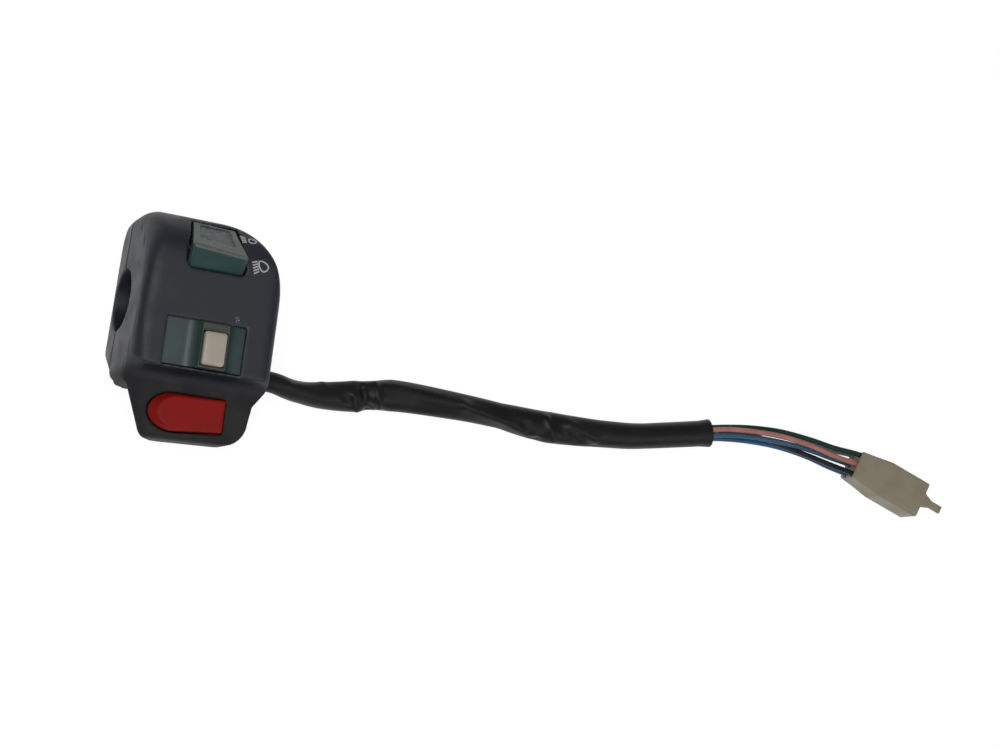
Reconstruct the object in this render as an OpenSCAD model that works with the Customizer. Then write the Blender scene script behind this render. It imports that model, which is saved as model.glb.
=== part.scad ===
// Handlebar switch cluster: two clamping shells with a dip rocker, a turn signal slider with a
// cancel cap and a horn button, and a wire harness ending in a six way connector.
// X runs along the handlebar towards the cable, Y towards the rocker, Z out of the switch face.
// The origin is the middle of the bar bore, and the shells part at Z = 0.

/* [Shells] */
// Diameter of the handlebar that the shells clamp
bar_d = 22.2; // [22:0.1:22.6]
// Length of the shells along the bar
body_l = 51.6; // [51:0.2:53]
// Height of the switch face above the bar axis
front_h = 26; // [26:0.2:27.4]
// Depth of the flat back below the bar axis
rear_h = 14; // [13.8:0.1:15]
// Wall of both shells
wall = 2.4; // [2.2:0.05:2.5]
// Wall of the saddle round the bar
saddle_wall = 2; // [1.8:0.1:2.1]
// Radius of the rounded crown that carries the rocker
crown_r = 18; // [17.6:0.1:18.4]
// Distance from the bar axis to the top of the crown
crown_y = 31.4; // [31.2:0.1:32]
// Radius where the cable end turns into the switch face
end_r = 5; // [4:0.25:6]
// Width of the soft shoulder at the open end
shoulder_w = 6; // [5:0.25:7]
// Lean of the open end towards the cable, per unit of height
end_lean = 0.11; // [0.08:0.01:0.12]
// Width of the large rounded corner above the cable
corner_w = 17.2; // [15:0.2:18]
// Height of the large rounded corner above the cable
corner_h = 25.5; // [23:0.5:27]

/* [Horn lobe] */
// Height of the horn lobe's face above the bar axis
lobe_h = 19.8; // [19.4:0.1:20.4]
// Distance from the bar axis to the end of the lobe
lobe_y = 47.9; // [47.6:0.1:49]
// Depth of the lobe's back below the parting plane
lobe_back = 4; // [3.4:0.1:5]
// Radius of the lobe's corner on the cable side
lobe_r = 9; // [7:0.5:9.5]
// Bevel round the lobe's face on the open side
lobe_bevel = 2.6; // [2:0.1:2.8]

/* [Clamp] */
// Thread diameter of the clamp screws
clamp_d = 4; // [3.5:0.1:4.2]
// Head diameter of the clamp screws
clamp_head_d = 7.4; // [6.8:0.1:7.8]
// Head height of the clamp screws
clamp_head_h = 2.6; // [2:0.1:3]
// Outer diameter of the brass inserts
insert_d = 6; // [5.6:0.1:6.4]
// Length of the brass inserts
insert_l = 8; // [6:0.5:9]

/* [Turn switch] */
// Width of the slider's slot
slot_w = 27.5; // [26.5:0.1:28]
// Height of the slider's slot
slot_h = 16.6; // [16:0.1:16.8]
// One step of the slider between detents
turn_step = 2.8; // [2.4:0.1:3]
// Thickness of the slider's shutter
shutter_t = 1.6; // [1.4:0.1:1.8]
// Width of the slider's ridge at its foot
ridge_w = 11; // [10.6:0.1:11.4]
// Height of the ridge above the shutter
ridge_h = 4.2; // [3.6:0.1:4.6]
// Width of the cancel cap
cap_w = 7.4; // [7:0.1:7.6]
// Length of the cancel cap
cap_l = 11.6; // [11:0.1:11.7]
// Height of the cancel cap above the ridge
cap_h = 1.9; // [1.7:0.1:2.4]
// Travel of the cancel cap
cap_travel = 1.5; // [1.2:0.1:1.6]
// Diameter of the detent ball
ball_d = 2.5; // [2.2:0.1:2.6]

/* [Dip switch] */
// Width of the rocker at its raised end
rocker_w = 20.2; // [19.4:0.1:20.6]
// Swing of the rocker from one side to the other
rocker_swing = 20; // [16:1:20]
// Depth of the finger pad in the rocker's face
pad_depth = 0.5; // [0.3:0.05:0.7]
// Diameter of the rocker's pivot pin
pivot_d = 2.5; // [2:0.1:2.6]
// Diameter of the spring plunger
plunger_d = 2.5; // [2.2:0.1:2.6]

/* [Horn] */
// Length of the horn button
horn_l = 26; // [25:0.2:26.4]
// Height of the horn button's face above the lobe
horn_h = 3; // [2.7:0.1:3.4]
// Travel of the horn button
horn_travel = 2.5; // [2:0.1:2.6]
// Diameter of the horn button's stem
stem_d = 5; // [4.4:0.1:5.2]

/* [Harness] */
// Outer diameter of the harness sleeve
sleeve_d = 9.8; // [9.4:0.1:9.9]
// Wall of the harness sleeve
sleeve_wall = 0.5; // [0.45:0.05:0.55]
// Diameter of one wire
wire_d = 2; // [1.8:0.05:2.02]
// Length of the connector housing
conn_l = 31; // [30:0.5:33]
// Width of the connector housing
conn_w = 14.4; // [14:0.1:15]
// Height of the connector housing
conn_h = 13; // [12.6:0.1:13]
// Length of the latch tongue ahead of the housing
tongue_l = 8; // [6:0.5:9]

/* [Clearances] */
// Running gap between a moving piece and its window
gap = 0.35; // [0.3:0.05:0.4]
// Radial play of pins, stems and plungers
play = 0.05; // [0.03:0.01:0.08]
// Air between a contact and what it closes on
contact_gap = 0.15; // [0.1:0.01:0.2]

/* [Hidden] */
$fn = 48;

// Shell sizes
half_l = body_l / 2;
bar_r = bar_d / 2;
saddle_r = bar_r + saddle_wall;
front_in = front_h - wall;
lobe_in = lobe_h - wall;
crown_c = [crown_y - crown_r, front_h - crown_r];
lip_y = 22.7;
lip_wall = 1.7;
past = 1;
long = 200;

// Small fixings for the switch bases
fix_d = 2;
fix_head_d = 3.6;
fix_head_h = 1.4;
fix_boss_d = 4.8;
fix_depth = 5;

// Clamp fixings: place of each screw, and the seat of its head below the parting plane
clamp_places = [[-half_l + 6.4, 20.6], [-half_l + 11.6, -18.9]];
clamp_seat = 6;
clamp_boss_d = insert_d + 2.4;

// Turn switch stack, from the switch face inwards
slot_c = [0.75, -lip_y + slot_h / 2];
slide_x = slot_c.x + turn_step;
shutter_top = front_in - gap + 0.05;
shutter_z = shutter_top - shutter_t;
shutter_half = slot_w / 2 + turn_step + 0.9;
cap_y = slot_c.y - 1;
cap_flange_t = 1.2;
cap_flange_w = 1;
cap_flange_top = shutter_z - 0.1;
cap_flange_z = cap_flange_top - cap_flange_t;
carrier_t = 1.8;
carrier_top = cap_flange_z - cap_travel - 1.2;
carrier_z = carrier_top - carrier_t;
bridge_t = 0.5;
strip_t = 0.4;
turn_base_t = 1.6;
turn_base_top = carrier_z - bridge_t - contact_gap - strip_t;
turn_base_z = turn_base_top - turn_base_t;
carriage_w = 19;
carriage_l = cap_l + cap_flange_w + 1.3;
detent_x = slide_x + 7.2;
bridge_y = slot_c.y - 4.6;
turn_pitch = 7;
turn_fix_x = [-12, 13];
turn_fix_y = -2.4;
turn_stop_x = [-17, 17];
lug_l = 2;

// Dip switch frame: origin on the pivot, local Y along the crown, local Z out of it
dip_o = [1.1, 19, 19.5];
dip_tilt = 27;
rocker_skew_l = 1.3;
rocker_skew_r = 3.6;
dip_base_n = -8.8;
dip_base_t = 1.8;
dip_base_l = 16;
ear_t = 1.4;
ear_r = pivot_d / 2 + 1.3;
blade_n = -7.1;
blade_t = 0.5;
blade_l = 12;
blade_w = 5;
blade_ratio = -0.5;
bead_r = 0.5;
dip_fix_x = [-14.4, 13.2];
contact_t = 5;

// Horn switch stack, from the lobe's face inwards
horn_c = [-1.2, -38];
horn_right = horn_l / 2 - 0.2;
flange_t = 1.9;
flange_top = lobe_in - 0.3;
flange_z = flange_top - flange_t;
plate_t = 0.6;
horn_base_top = 7;
horn_base_t = 2;
horn_spring_r = stem_d / 2 + 0.75;
horn_fix = [[16.8, -39.2], [-12.4, -30.6]];
horn_post_x = 7;

// Harness route, chosen by hand: outside the shells, then the free wires, then the connector
exit_y = -19.6;
grommet_d = 8.2;
grommet_flange_d = 9.4;
grommet_flange_t = 1.6;
grommet_out = 1;
floor_z = -rear_h;
sleeve_sides = 12;
wire_ring_r = 1.06 * wire_d;
sleeve_neck_r = (wire_ring_r + wire_d / 2) / cos(180 / sleeve_sides) + sleeve_wall + 0.02;
sleeve_route = [[half_l + grommet_out + 0.5, exit_y, 0], [33, -19.9, -0.5], [40, -21, -2.8], [48, -21, -5.6],
  [56, -20.2, -7.8], [65, -18.8, -8.7], [74, -16.8, -9], [82, -16, -9], [96, -16, -9], [110, -16.4, -9],
  [124, -17.3, -9], [137, -18.2, -9], [150, -18, -9], [162, -17.3, -9], [174, -16.2, -9],
  [188, -13.6, -9], [204, -10.4, -9]];
sleeve_neck = [0, 0.1, 0.25, 0.65, 1];
free_route = [[212, -9, -9.4], [222, -8, -9.9], [234, -8, -10], [246, -9.6, -9.4], [256, -11.8, -8.4]];
conn_o = [264.5, -13.1, floor_z + conn_h / 2];
conn_turn = -19.5;
conn_pitch_y = 4;
conn_pitch_z = 5.2;
conn_hole_d = wire_d + 0.5;
conn_hole_l = 8;
shroud_wall = 1.5;
shroud_l = 15;
tongue_w = 3;
tongue_t = 1.6;
blade_pin_w = 2.8;
blade_pin_t = 0.8;

// Plane curves
function arc(cx, cy, rx, ry, a0, a1, n) =
  [for (k = [0:n]) let (a = a0 + (a1 - a0) * k / n) [cx + rx * cos(a), cy + ry * sin(a)]];

// Outline of both shells seen on the switch face, drawn in by i
function face_outline(i) = concat(
  arc(half_l - corner_w, crown_y - 0.9 - corner_h, corner_w - i, corner_h - i, 0, 90, 14),
  arc(-half_l + 6, crown_y - 6, 6 - i, 6 - i, 90, 180, 6),
  arc(-half_l + 4.5, -24.5, 4.5 - i, 4.5 - i, 180, 236, 4),
  arc(-half_l + 1.6, -32.4, 3 + i, 3 + i, 56, 22, 3),
  arc(-half_l + 13.1, -lobe_y + 3, 3 - i, 3 - i, 202, 273, 5),
  arc(half_l - 3.3 - lobe_r, -lobe_y + 1.4 + lobe_r, lobe_r - i, lobe_r - i, 273, 360, 8),
  arc(half_l - 0.3, -34, 3 + i, 3 + i, 180, 157, 3),
  arc(half_l - 3, -25, 3 - i, 3 - i, -23, 0, 3));

// Side view of the front shell, Y across and Z up: crown, face, lip, scoop and lobe
function front_profile() = concat(
  arc(crown_c.x, crown_c.y, crown_r, crown_r, -40, 90, 24),
  arc(-lip_y + 0.7, front_h - 1.6, 1.6, 1.6, 90, 160, 4),
  arc(-lip_y - lip_wall - 3.8, lobe_h + 4, 4, 4, -20, -90, 6),
  arc(-lobe_y + 4, lobe_h - 4, 4, 4, 90, 180, 5),
  [[-lobe_y, -long / 4]]);

// Side view of the front shell's inside
function front_cavity_profile() = concat(
  arc(crown_c.x, crown_c.y, crown_r - wall, crown_r - wall, -40, 90, 16),
  [[-lip_y, front_in], [-lip_y, lobe_in], [-lobe_y + wall, lobe_in], [-lobe_y + wall, -long / 4]]);

// Side view of the rear shell, drawn in by i
function rear_profile(i) = concat(
  [[-long / 4, past], [-long / 4, -lobe_back + i], [-25 + i, -lobe_back + i]],
  arc(-15, -rear_h + 10, 10 - i, 10 - i, 180, 270, 6),
  arc(18.5, -rear_h + 11, 11 - i, 11 - i, 270, 360, 8),
  [[29.5 - i, past]]);

// Plan of the shells, X across and Z up, with both ends rounded by r at height h
function end_profile(h, r, i) = concat(
  [[half_l - i, -sign(h) * long / 4]],
  arc(half_l - r, h - sign(h) * r, r - i, sign(h) * (r - i), 0, 90, 6),
  arc(-half_l + r, h - sign(h) * r, r - i, sign(h) * (r - i), 90, 180, 6),
  [[-half_l + i, -sign(h) * long / 4]]);

// Edge of the open end face, and the face and crown that its shoulder rises to, Y across and Z up
function end_edge() = [[crown_y - 2.4, -long / 4], [crown_y - 3.4, 0], [crown_y - 4.4, front_h - 20.1],
  [crown_y - 8.5, front_h - 13.8], [crown_y - 15.4, front_h - 7.1], [crown_y - 20.1, front_h - 5.1],
  [5.3, front_h - 4.1], [-7.7, front_h - 3.9], [-13, front_h - 4.9], [-17.8, front_h - 6.4],
  [-23.4, front_h - 9.6], [-29, front_h - 12.8], [-34, front_h - 16], [-60, front_h - 34],
  [-60, -long / 4]];
function end_cover() = let (r = crown_r + 0.6, top = front_h + 0.1) concat(
  [[crown_y + 0.6, -long / 4], [crown_y + 0.2, 0]],
  [for (a = [0, 25, 50, 70, 90]) crown_c + r * [cos(a), sin(a)]],
  [[-7.7, top], [-14, top], [-20, top], [-26, top], [-33, top - 1], [-40, top - 3], [-64, top - 14],
    [-64, -long / 4]]);

// Convex outline drawn in by i
function left_of(d) = [-d.y, d.x] / norm(d);
function inset(p, i) = let (n = len(p)) [for (k = [0:n - 1])
  let (u = left_of(p[k] - p[(k + n - 1) % n]), v = left_of(p[(k + 1) % n] - p[k]))
  p[k] + i * (u + v) / (1 + u * v)];

// Catmull-Rom curve through route points, m steps to each stretch
function on_curve(p, q, r, s, t) =
  0.5 * (2 * q + (r - p) * t + (2 * p - 5 * q + 4 * r - s) * t * t + (3 * q - p - 3 * r + s) * t * t * t);
function smooth(route, m) = let (n = len(route)) concat(
  [for (i = [0:n - 2]) for (k = [0:m - 1])
    on_curve(route[max(i - 1, 0)], route[i], route[i + 1], route[min(i + 2, n - 1)], k / m)],
  [route[n - 1]]);
function unit(v) = v / norm(v);
function tangents(pts) = let (n = len(pts))
  [for (i = [0:n - 1]) unit(pts[min(i + 1, n - 1)] - pts[max(i - 1, 0)])];
function carried(tans, k, side) = k == len(tans) ? [] :
  let (s = unit(side - (side * tans[k]) * tans[k])) concat([s], carried(tans, k + 1, s));
function ring_points(pts, radii, sides, start) =
  let (tans = tangents(pts), normals = carried(tans, 0, start))
  [for (i = [0:len(pts) - 1]) let (u = normals[i], v = cross(tans[i], normals[i]))
    for (k = [0:sides - 1]) let (a = 360 * k / sides) pts[i] + radii[i] * (cos(a) * u + sin(a) * v)];

// Closed faces of a tube with n rings, and of a hollow tube whose inner rings follow its outer ones
function skin(n, s, o, flip) = [for (i = [0:n - 2]) for (k = [0:s - 1])
  let (a = o + i * s + k, b = o + i * s + (k + 1) % s, c = a + s, d = b + s)
  each flip ? [[a, b, d], [a, d, c]] : [[a, d, b], [a, c, d]]];
function cap(s, o, flip) = [for (k = [1:s - 2]) flip ? [o, o + k + 1, o + k] : [o, o + k, o + k + 1]];
function rim(s, o, p, flip) = [for (k = [0:s - 1])
  let (a = o + k, b = o + (k + 1) % s, c = p + k, d = p + (k + 1) % s)
  each flip ? [[a, d, b], [a, c, d]] : [[a, b, d], [a, d, c]]];

module tube(pts, r, sides, start = [0, 0, 1]) {
  n = len(pts);
  polyhedron(ring_points(pts, [for (p = pts) r], sides, start),
    concat(skin(n, sides, 0, false), cap(sides, 0, false), cap(sides, (n - 1) * sides, true)));
}

module hollow_tube(pts, radii, wall_t, sides, start = [0, 0, 1]) {
  n = len(pts);
  inner = [for (r = radii) r - wall_t];
  polyhedron(
    concat(ring_points(pts, radii, sides, start), ring_points(pts, inner, sides, start)),
    concat(skin(n, sides, 0, false), skin(n, sides, n * sides, true),
      rim(sides, 0, n * sides, false), rim(sides, (n - 1) * sides, (2 * n - 1) * sides, true)));
}

// Coil spring along Z from 0 to h, made of round wire
module coil(r, h, wire, turns) {
  rings = round(turns * 8);
  tube([for (k = [0:rings]) [r * cos(k * 45), r * sin(k * 45), wire / 2 + (h - wire) * k / rings]],
    wire / 2, 6);
}

// Extrusions of a side view along X and of a plan along Y
module along_x(l) rotate([90, 0, 90]) linear_extrude(l, center = true) children();
module along_y(l) rotate([90, 0, 0]) linear_extrude(l, center = true) children();
module bar(r, l) rotate([0, 90, 0]) cylinder(r = r, h = l, center = true);
module box(size, at) translate(at - size / 2) cube(size);

// Soft shoulder of the front shell's open end, drawn in by i: it leans and rounds up to the face
shoulder_steps = 6;
shoulder_wall = 1.2;
function shoulder_ring(a, i, far) = [for (p = inset((1 - sin(a)) * end_edge() + sin(a) * end_cover(), i))
  [-half_l + i + (shoulder_w - i) * (1 - cos(a)) + end_lean * p.y + far, p.x, p.y]];
module shoulder(i) {
  sides = len(end_edge());
  rings = concat([for (k = [0:shoulder_steps]) shoulder_ring(90 * k / shoulder_steps, i, 0)],
    [shoulder_ring(90, i, long / 2)]);
  polyhedron([for (ring = rings) each ring], concat(skin(len(rings), sides, 0, false),
    cap(sides, 0, false), cap(sides, (len(rings) - 1) * sides, true)));
}

// Horn lobe, drawn in by i: bevelled round its face, and drawn in again towards its back
lobe_top = -28;
module lobe_slice(z, left, low, i) translate([0, 0, z]) linear_extrude(0.01) offset(delta = -i) polygon([
  [-half_l + left - 3, -20], [-half_l + 4.4 + left, -31.3], [-half_l + 10.3 + left, -46 + low],
  [-half_l + 11.8 + left, -lobe_y + 0.5 + low], [-half_l + 13.6 + left, -lobe_y + low],
  [14, -lobe_y + 1.4 + low], [half_l + 10, -lobe_y + 1.9 + low], [half_l + 10, -20]]);
module lobe_form(i) {
  translate([-long / 2, lobe_top + i, -long / 2]) cube(long);
  hull() {
    lobe_slice(lobe_h, lobe_bevel, 0.6, i);
    lobe_slice(lobe_h - lobe_bevel, 0, 0, i);
  }
  hull() {
    lobe_slice(lobe_h - lobe_bevel, 0, 0, i);
    lobe_slice(-lobe_back, 6, 1.8, i);
  }
}

// Shell solids
module front_solid() intersection() {
  linear_extrude(front_h) polygon(face_outline(0));
  along_x(long) polygon(front_profile());
  along_y(long) polygon(end_profile(front_h, end_r, 0));
  shoulder(0);
  lobe_form(0);
}

module front_cavity() intersection() {
  translate([0, 0, -past]) linear_extrude(front_in + past) polygon(face_outline(wall));
  along_x(long) polygon(front_cavity_profile());
  along_y(long) polygon(end_profile(front_h, end_r, wall));
  shoulder(shoulder_wall);
  lobe_form(wall);
}

module rear_solid() intersection() {
  translate([0, 0, -rear_h]) linear_extrude(rear_h) polygon(face_outline(0));
  along_x(long) polygon(rear_profile(0));
  along_y(long) polygon(end_profile(-rear_h, 3, 0));
  lobe_form(0);
}

module rear_cavity() intersection() {
  translate([0, 0, -rear_h]) linear_extrude(rear_h + past) polygon(face_outline(wall));
  along_x(long) polygon(rear_profile(wall));
  along_y(long) polygon(end_profile(-rear_h, 3, wall));
  lobe_form(wall);
}

// Frame of the dip switch, turned by swing about its pivot
module dip_frame(swing = 0) translate(dip_o) rotate([swing - dip_tilt, 0, 0]) children();
module dip_rest() dip_frame(-rocker_swing / 2) children();

// Rocker in plan, grown by g: wide and rounded at its raised end, skewed in towards the crown
rocker_half = rocker_w / 2;
module rocker_plan(g) offset(delta = g) polygon(concat(
  arc(-rocker_half + 2.6, -6.5, 2.6, 2.6, 180, 270, 5), arc(rocker_half - 1.7, -7.4, 1.7, 1.7, 270, 360, 4),
  [[rocker_half - rocker_skew_r, 9.2], [-rocker_half + rocker_skew_l, 9.2]]));

// Foot of the rocker from the side, its slanting face in plan, and the plane of that face
rocker_foot = [[-8.6, -1.4], [-9.1, 0], [-9.1, 0.4], [8.9, 3.8], [8.9, -0.4], [4, -2.8], [-4, -2.8]];
function rocker_face() = concat(arc(-rocker_half + 1.9, -4.7, 1.6, 1.6, 180, 263, 4),
  arc(rocker_half - 1.5, -7.2, 1.4, 1.4, 277, 360, 4),
  [[rocker_half - rocker_skew_r + 0.1, 8.2], [-rocker_half + rocker_skew_l + 0.2, 8.2]]);
module rocker_plane() multmatrix([[1, 0, 0, 0], [0, 1, 0, 0], [-0.059, -0.205, 1, 6.3]]) children();

// Horn button outline: bullet end on the left, square end on the right, grown by g
function horn_outline(g) = concat(
  [[horn_c.x + horn_right + g, -42.7 - g], [horn_c.x + horn_right + g, -31.4 + g]],
  arc(horn_c.x + horn_right - horn_l + 9, -38, 9 + g, 6.5 + g, 90, 270, 14));
function horn_top() = concat(
  [[horn_c.x + horn_right - 0.2, -42.6], [horn_c.x + horn_right - 0.2, -31.7]],
  arc(horn_c.x + horn_right - horn_l + 10.4, -38.3, 7.2, 6, 90, 250, 12));

// Holes and bosses that the switch bases share with the front shell
module turn_fix_places() for (x = turn_fix_x) translate([x, turn_fix_y, turn_base_top]) children();
module dip_fix_places() dip_frame() for (x = dip_fix_x) translate([x, 0, dip_base_n]) children();
module horn_fix_places() for (p = horn_fix) translate([p.x, p.y, horn_base_top]) children();
module fix_boss(h) cylinder(d = fix_boss_d, h = h);
module fix_hole() translate([0, 0, -past]) cylinder(d = fix_d, h = fix_depth + past);
module fix_screw(t) {
  translate([0, 0, -t - fix_head_h]) cylinder(d = fix_head_d, h = fix_head_h);
  translate([0, 0, -t - 0.2]) cylinder(d = fix_d - 2 * play, h = t + fix_depth - 0.3);
}
// Room in the saddle for the heads of the turn base's screws
module turn_head_pockets() turn_fix_places() translate([0, 0, -turn_base_t - fix_head_h - 0.2])
  cylinder(d = fix_head_d + 0.6, h = turn_base_t + fix_head_h);
module clamp_sites() for (p = clamp_places) translate([p.x, p.y, 0]) children();
module exit_hole() translate([half_l, exit_y, 0]) {
  translate([-wall / 2, 0, 0]) bar(grommet_d / 2 + play, 2 * wall);
  translate([-wall - grommet_flange_t, 0, 0]) bar(grommet_flange_d / 2 + play, 2 * grommet_flange_t);
}

// Web that ties the lower clamp boss to the saddle
module clamp_ribs() box([3, clamp_boss_d, insert_l + 3],
  [clamp_places[1].x, clamp_places[1].y + clamp_boss_d / 2 + 1, (insert_l + 3) / 2]);

// Stops inside the lip that the turn base's lower edge sits against
module turn_stops() for (x = turn_stop_x)
  box([3, 3.4, shutter_z - 1 - turn_base_top], [x, -lip_y, (shutter_z - 1 + turn_base_top) / 2]);

module front_shell() color("#2c2d31") difference() {
  union() {
    difference() {
      front_solid();
      front_cavity();
    }
    intersection() {
      front_solid();
      union() {
        bar(saddle_r, long);
        clamp_sites() cylinder(d = clamp_boss_d, h = insert_l + 3);
        turn_fix_places() fix_boss(front_in - turn_base_top + past);
        horn_fix_places() fix_boss(lobe_in - horn_base_top + past);
        dip_fix_places() fix_boss(12);
        clamp_ribs();
        turn_stops();
      }
    }
  }
  bar(bar_r, long);
  translate([0, 0, -past]) clamp_sites() cylinder(d = insert_d, h = insert_l + past + 1.4);
  turn_fix_places() fix_hole();
  turn_head_pockets();
  horn_fix_places() fix_hole();
  dip_fix_places() fix_hole();
  exit_hole();
  box([slot_w, slot_h, 4 * wall], [slot_c.x, slot_c.y, front_h]);
  translate([0, 0, lobe_in - past]) linear_extrude(4 * wall) polygon(horn_outline(gap));
  dip_frame() translate([0, 0, -past]) linear_extrude(20) rocker_plan(gap + 0.25);
}

module rear_shell() color("#2c2d31") difference() {
  union() {
    difference() {
      rear_solid();
      rear_cavity();
    }
    intersection() {
      rear_solid();
      union() {
        bar(saddle_r, long);
        clamp_sites() translate([0, 0, -rear_h]) cylinder(d = clamp_head_d + 3, h = rear_h);
      }
    }
  }
  bar(bar_r, long);
  clamp_sites() {
    translate([0, 0, -clamp_seat - past]) cylinder(d = clamp_d + 0.4, h = clamp_seat + 2 * past);
    translate([0, 0, -rear_h - past]) cylinder(d = clamp_head_d + 0.6, h = rear_h + past - clamp_seat);
  }
  exit_hole();
}

module clamp_screws() color("#8f959b") clamp_sites() difference() {
  union() {
    translate([0, 0, -clamp_seat - clamp_head_h]) cylinder(d = clamp_head_d, h = clamp_head_h);
    translate([0, 0, -clamp_seat - 0.2]) cylinder(d = clamp_d, h = clamp_seat + insert_l - 0.3);
  }
  for (a = [0, 90]) translate([0, 0, -clamp_seat - clamp_head_h]) rotate(a) box([4, 0.9, 2.4], [0, 0, 0]);
}

module clamp_inserts() color("#c9a24b") clamp_sites() translate([0, 0, 0.2]) difference() {
  cylinder(d = insert_d - 2 * play, h = insert_l);
  translate([0, 0, -past]) cylinder(d = clamp_d + 2 * play, h = insert_l + 2 * past);
}

module dip_rocker() color("#5d7f7b") dip_rest() difference() {
  union() {
    hull() {
      intersection() {
        along_x(long) polygon(rocker_foot);
        translate([0, 0, -long / 2]) linear_extrude(long) rocker_plan(0);
      }
      rocker_plane() translate([0, 0, -0.02]) linear_extrude(0.02) polygon(rocker_face());
    }
    translate([0, 0, -5.2]) cylinder(d = plunger_d + 2, h = 3);
  }
  bar(pivot_d / 2 + play, long);
  translate([0, 0, -6]) cylinder(d = plunger_d + 2 * play, h = 4.1);
  dip_pad();
}

// Finger pad sunk into the rocker's face
module dip_pad() rocker_plane() translate([0, 0, -pad_depth])
  linear_extrude(3) polygon([[-7.3, -1.6], [5.6, -2.6], [4.1, 6.7], [-6.2, 6.7]]);

module dip_pivot_pin() color("#b9bdc1") dip_frame()
  translate([(dip_ear_x(1) + dip_ear_x(-1)) / 2, 0, 0])
    bar(pivot_d / 2, dip_ear_x(1) - dip_ear_x(-1) + ear_t);

// Middle of the ear on either side of the rocker
function dip_ear_x(side) = side > 0 ? rocker_half - rocker_skew_r / 2 + gap + ear_t / 2 + 0.65
  : -rocker_half + rocker_skew_l / 2 - gap - ear_t / 2 - 0.3;

module dip_base() color("#3a3936") dip_frame() difference() {
  union() {
    box([24, dip_base_l, dip_base_t], [0, 0, dip_base_n - dip_base_t / 2]);
    for (x = dip_fix_x) box([5.6, 5.6, dip_base_t], [x, 0, dip_base_n - dip_base_t / 2]);
    for (side = [-1, 1]) {
      translate([dip_ear_x(side), 0, 0]) bar(ear_r, ear_t);
      box([ear_t, 2 * ear_r, -dip_base_n], [dip_ear_x(side), 0, dip_base_n / 2]);
    }
  }
  bar(pivot_d / 2 + 0.02, long);
  for (x = dip_fix_x) translate([x, 0, dip_base_n - dip_base_t - past])
    cylinder(d = fix_d + 0.3, h = dip_base_t + 2 * past);
}

module dip_base_screws() color("#8f959b") dip_fix_places() fix_screw(dip_base_t);

module dip_plunger() color("#c9a24b") dip_rest() union() {
  translate([0, 0, -6.9 + plunger_d / 2]) sphere(d = plunger_d);
  translate([0, 0, -6.9 + plunger_d / 2]) cylinder(d = plunger_d, h = 2);
}

module dip_plunger_spring() color("#b9bdc1") dip_rest()
  translate([0, 0, -3.6]) coil(0.8, 1.6, 0.4, 2.5);

module dip_contact_blade() color("#c9a24b") dip_frame()
  translate([0, 0, blade_n - blade_t]) rotate([-blade_ratio * rocker_swing / 2, 0, 0])
    union() {
      box([blade_w, blade_l, blade_t], [0, 0, blade_t / 2]);
      bar(bead_r, blade_w);
    }

// Contacts under the blade: a cradle for its bead, and a raised contact under each end
cradle_w = 2;
module dip_terminals() color("#c9a24b") dip_frame() {
  drop = contact_t * tan(-blade_ratio * rocker_swing / 2);
  contact_h = blade_n - blade_t - drop - contact_gap - dip_base_n;
  difference() {
    box([blade_w, cradle_w, blade_n - blade_t - 0.25 - dip_base_n],
      [0, 0, (blade_n - blade_t - 0.25 + dip_base_n) / 2]);
    translate([0, 0, blade_n - blade_t]) bar(bead_r + play, long);
  }
  for (side = [-1, 1]) {
    box([blade_w, 1.6, contact_h], [0, side * contact_t, dip_base_n + contact_h / 2]);
    box([11.4, 2.4, strip_t], [7.4, side * contact_t, dip_base_n + strip_t / 2]);
  }
}

module turn_slider() color("#4f7370") difference() {
  union() {
    box([2 * shutter_half, slot_h + 0.9 - gap, shutter_t],
      [slide_x, slot_c.y + (0.9 + gap) / 2, shutter_z + shutter_t / 2]);
    translate([slide_x, slot_c.y, shutter_top - 0.2]) along_y(slot_h - 2 * gap) polygon([
      [-ridge_w / 2, 0], [ridge_w / 2, 0],
      [cap_w / 2 + 0.75, ridge_h + 0.2], [-cap_w / 2 - 0.75, ridge_h + 0.2]]);
    box([carriage_w, carriage_l, shutter_z - carrier_top + 0.2],
      [slide_x, cap_y, (shutter_z + 0.2 + carrier_top) / 2]);
  }
  box([cap_w + 0.4, cap_l + 0.4, long / 4], [slide_x, cap_y, front_h]);
  box([cap_w + cap_flange_w + 0.4, cap_l + cap_flange_w + 0.4, 2 * (shutter_z - carrier_top)],
    [slide_x, cap_y, carrier_top]);
  translate([detent_x, cap_y, carrier_top - past]) cylinder(d = ball_d + 0.2, h = past + 3.4);
}

module turn_cancel_cap() color("#cdc6ba") union() {
  box([cap_w, cap_l, shutter_top + ridge_h + cap_h - cap_flange_z],
    [slide_x, cap_y, (shutter_top + ridge_h + cap_h + cap_flange_z) / 2]);
  box([cap_w + cap_flange_w, cap_l + cap_flange_w, cap_flange_t],
    [slide_x, cap_y, cap_flange_z + cap_flange_t / 2]);
}

module turn_cap_spring() color("#b9bdc1") translate([slide_x, cap_y, carrier_top + 0.05])
  coil(2.6, cap_flange_z - carrier_top - 0.1, 0.5, 2.5);

module turn_carrier() color("#8a6a44") difference() {
  box([carriage_w, carriage_l, carrier_t], [slide_x, cap_y, carrier_top - carrier_t / 2]);
  translate([detent_x, cap_y, carrier_z - past]) cylinder(d = ball_d + 0.2, h = carrier_t + 2 * past);
}

module turn_contact_bridge() color("#c9a24b")
  box([turn_pitch + 1, 3, bridge_t], [slide_x, bridge_y, carrier_z - bridge_t / 2]);

module turn_detent_ball() color("#b9bdc1")
  translate([detent_x, cap_y, turn_base_top + 0.06 + ball_d / 2]) sphere(d = ball_d);

module turn_detent_spring() color("#b9bdc1")
  translate([detent_x, cap_y, turn_base_top + 0.1 + ball_d])
    coil(0.85, carrier_top + 3.3 - turn_base_top - 0.1 - ball_d, 0.4, 4);

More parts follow.
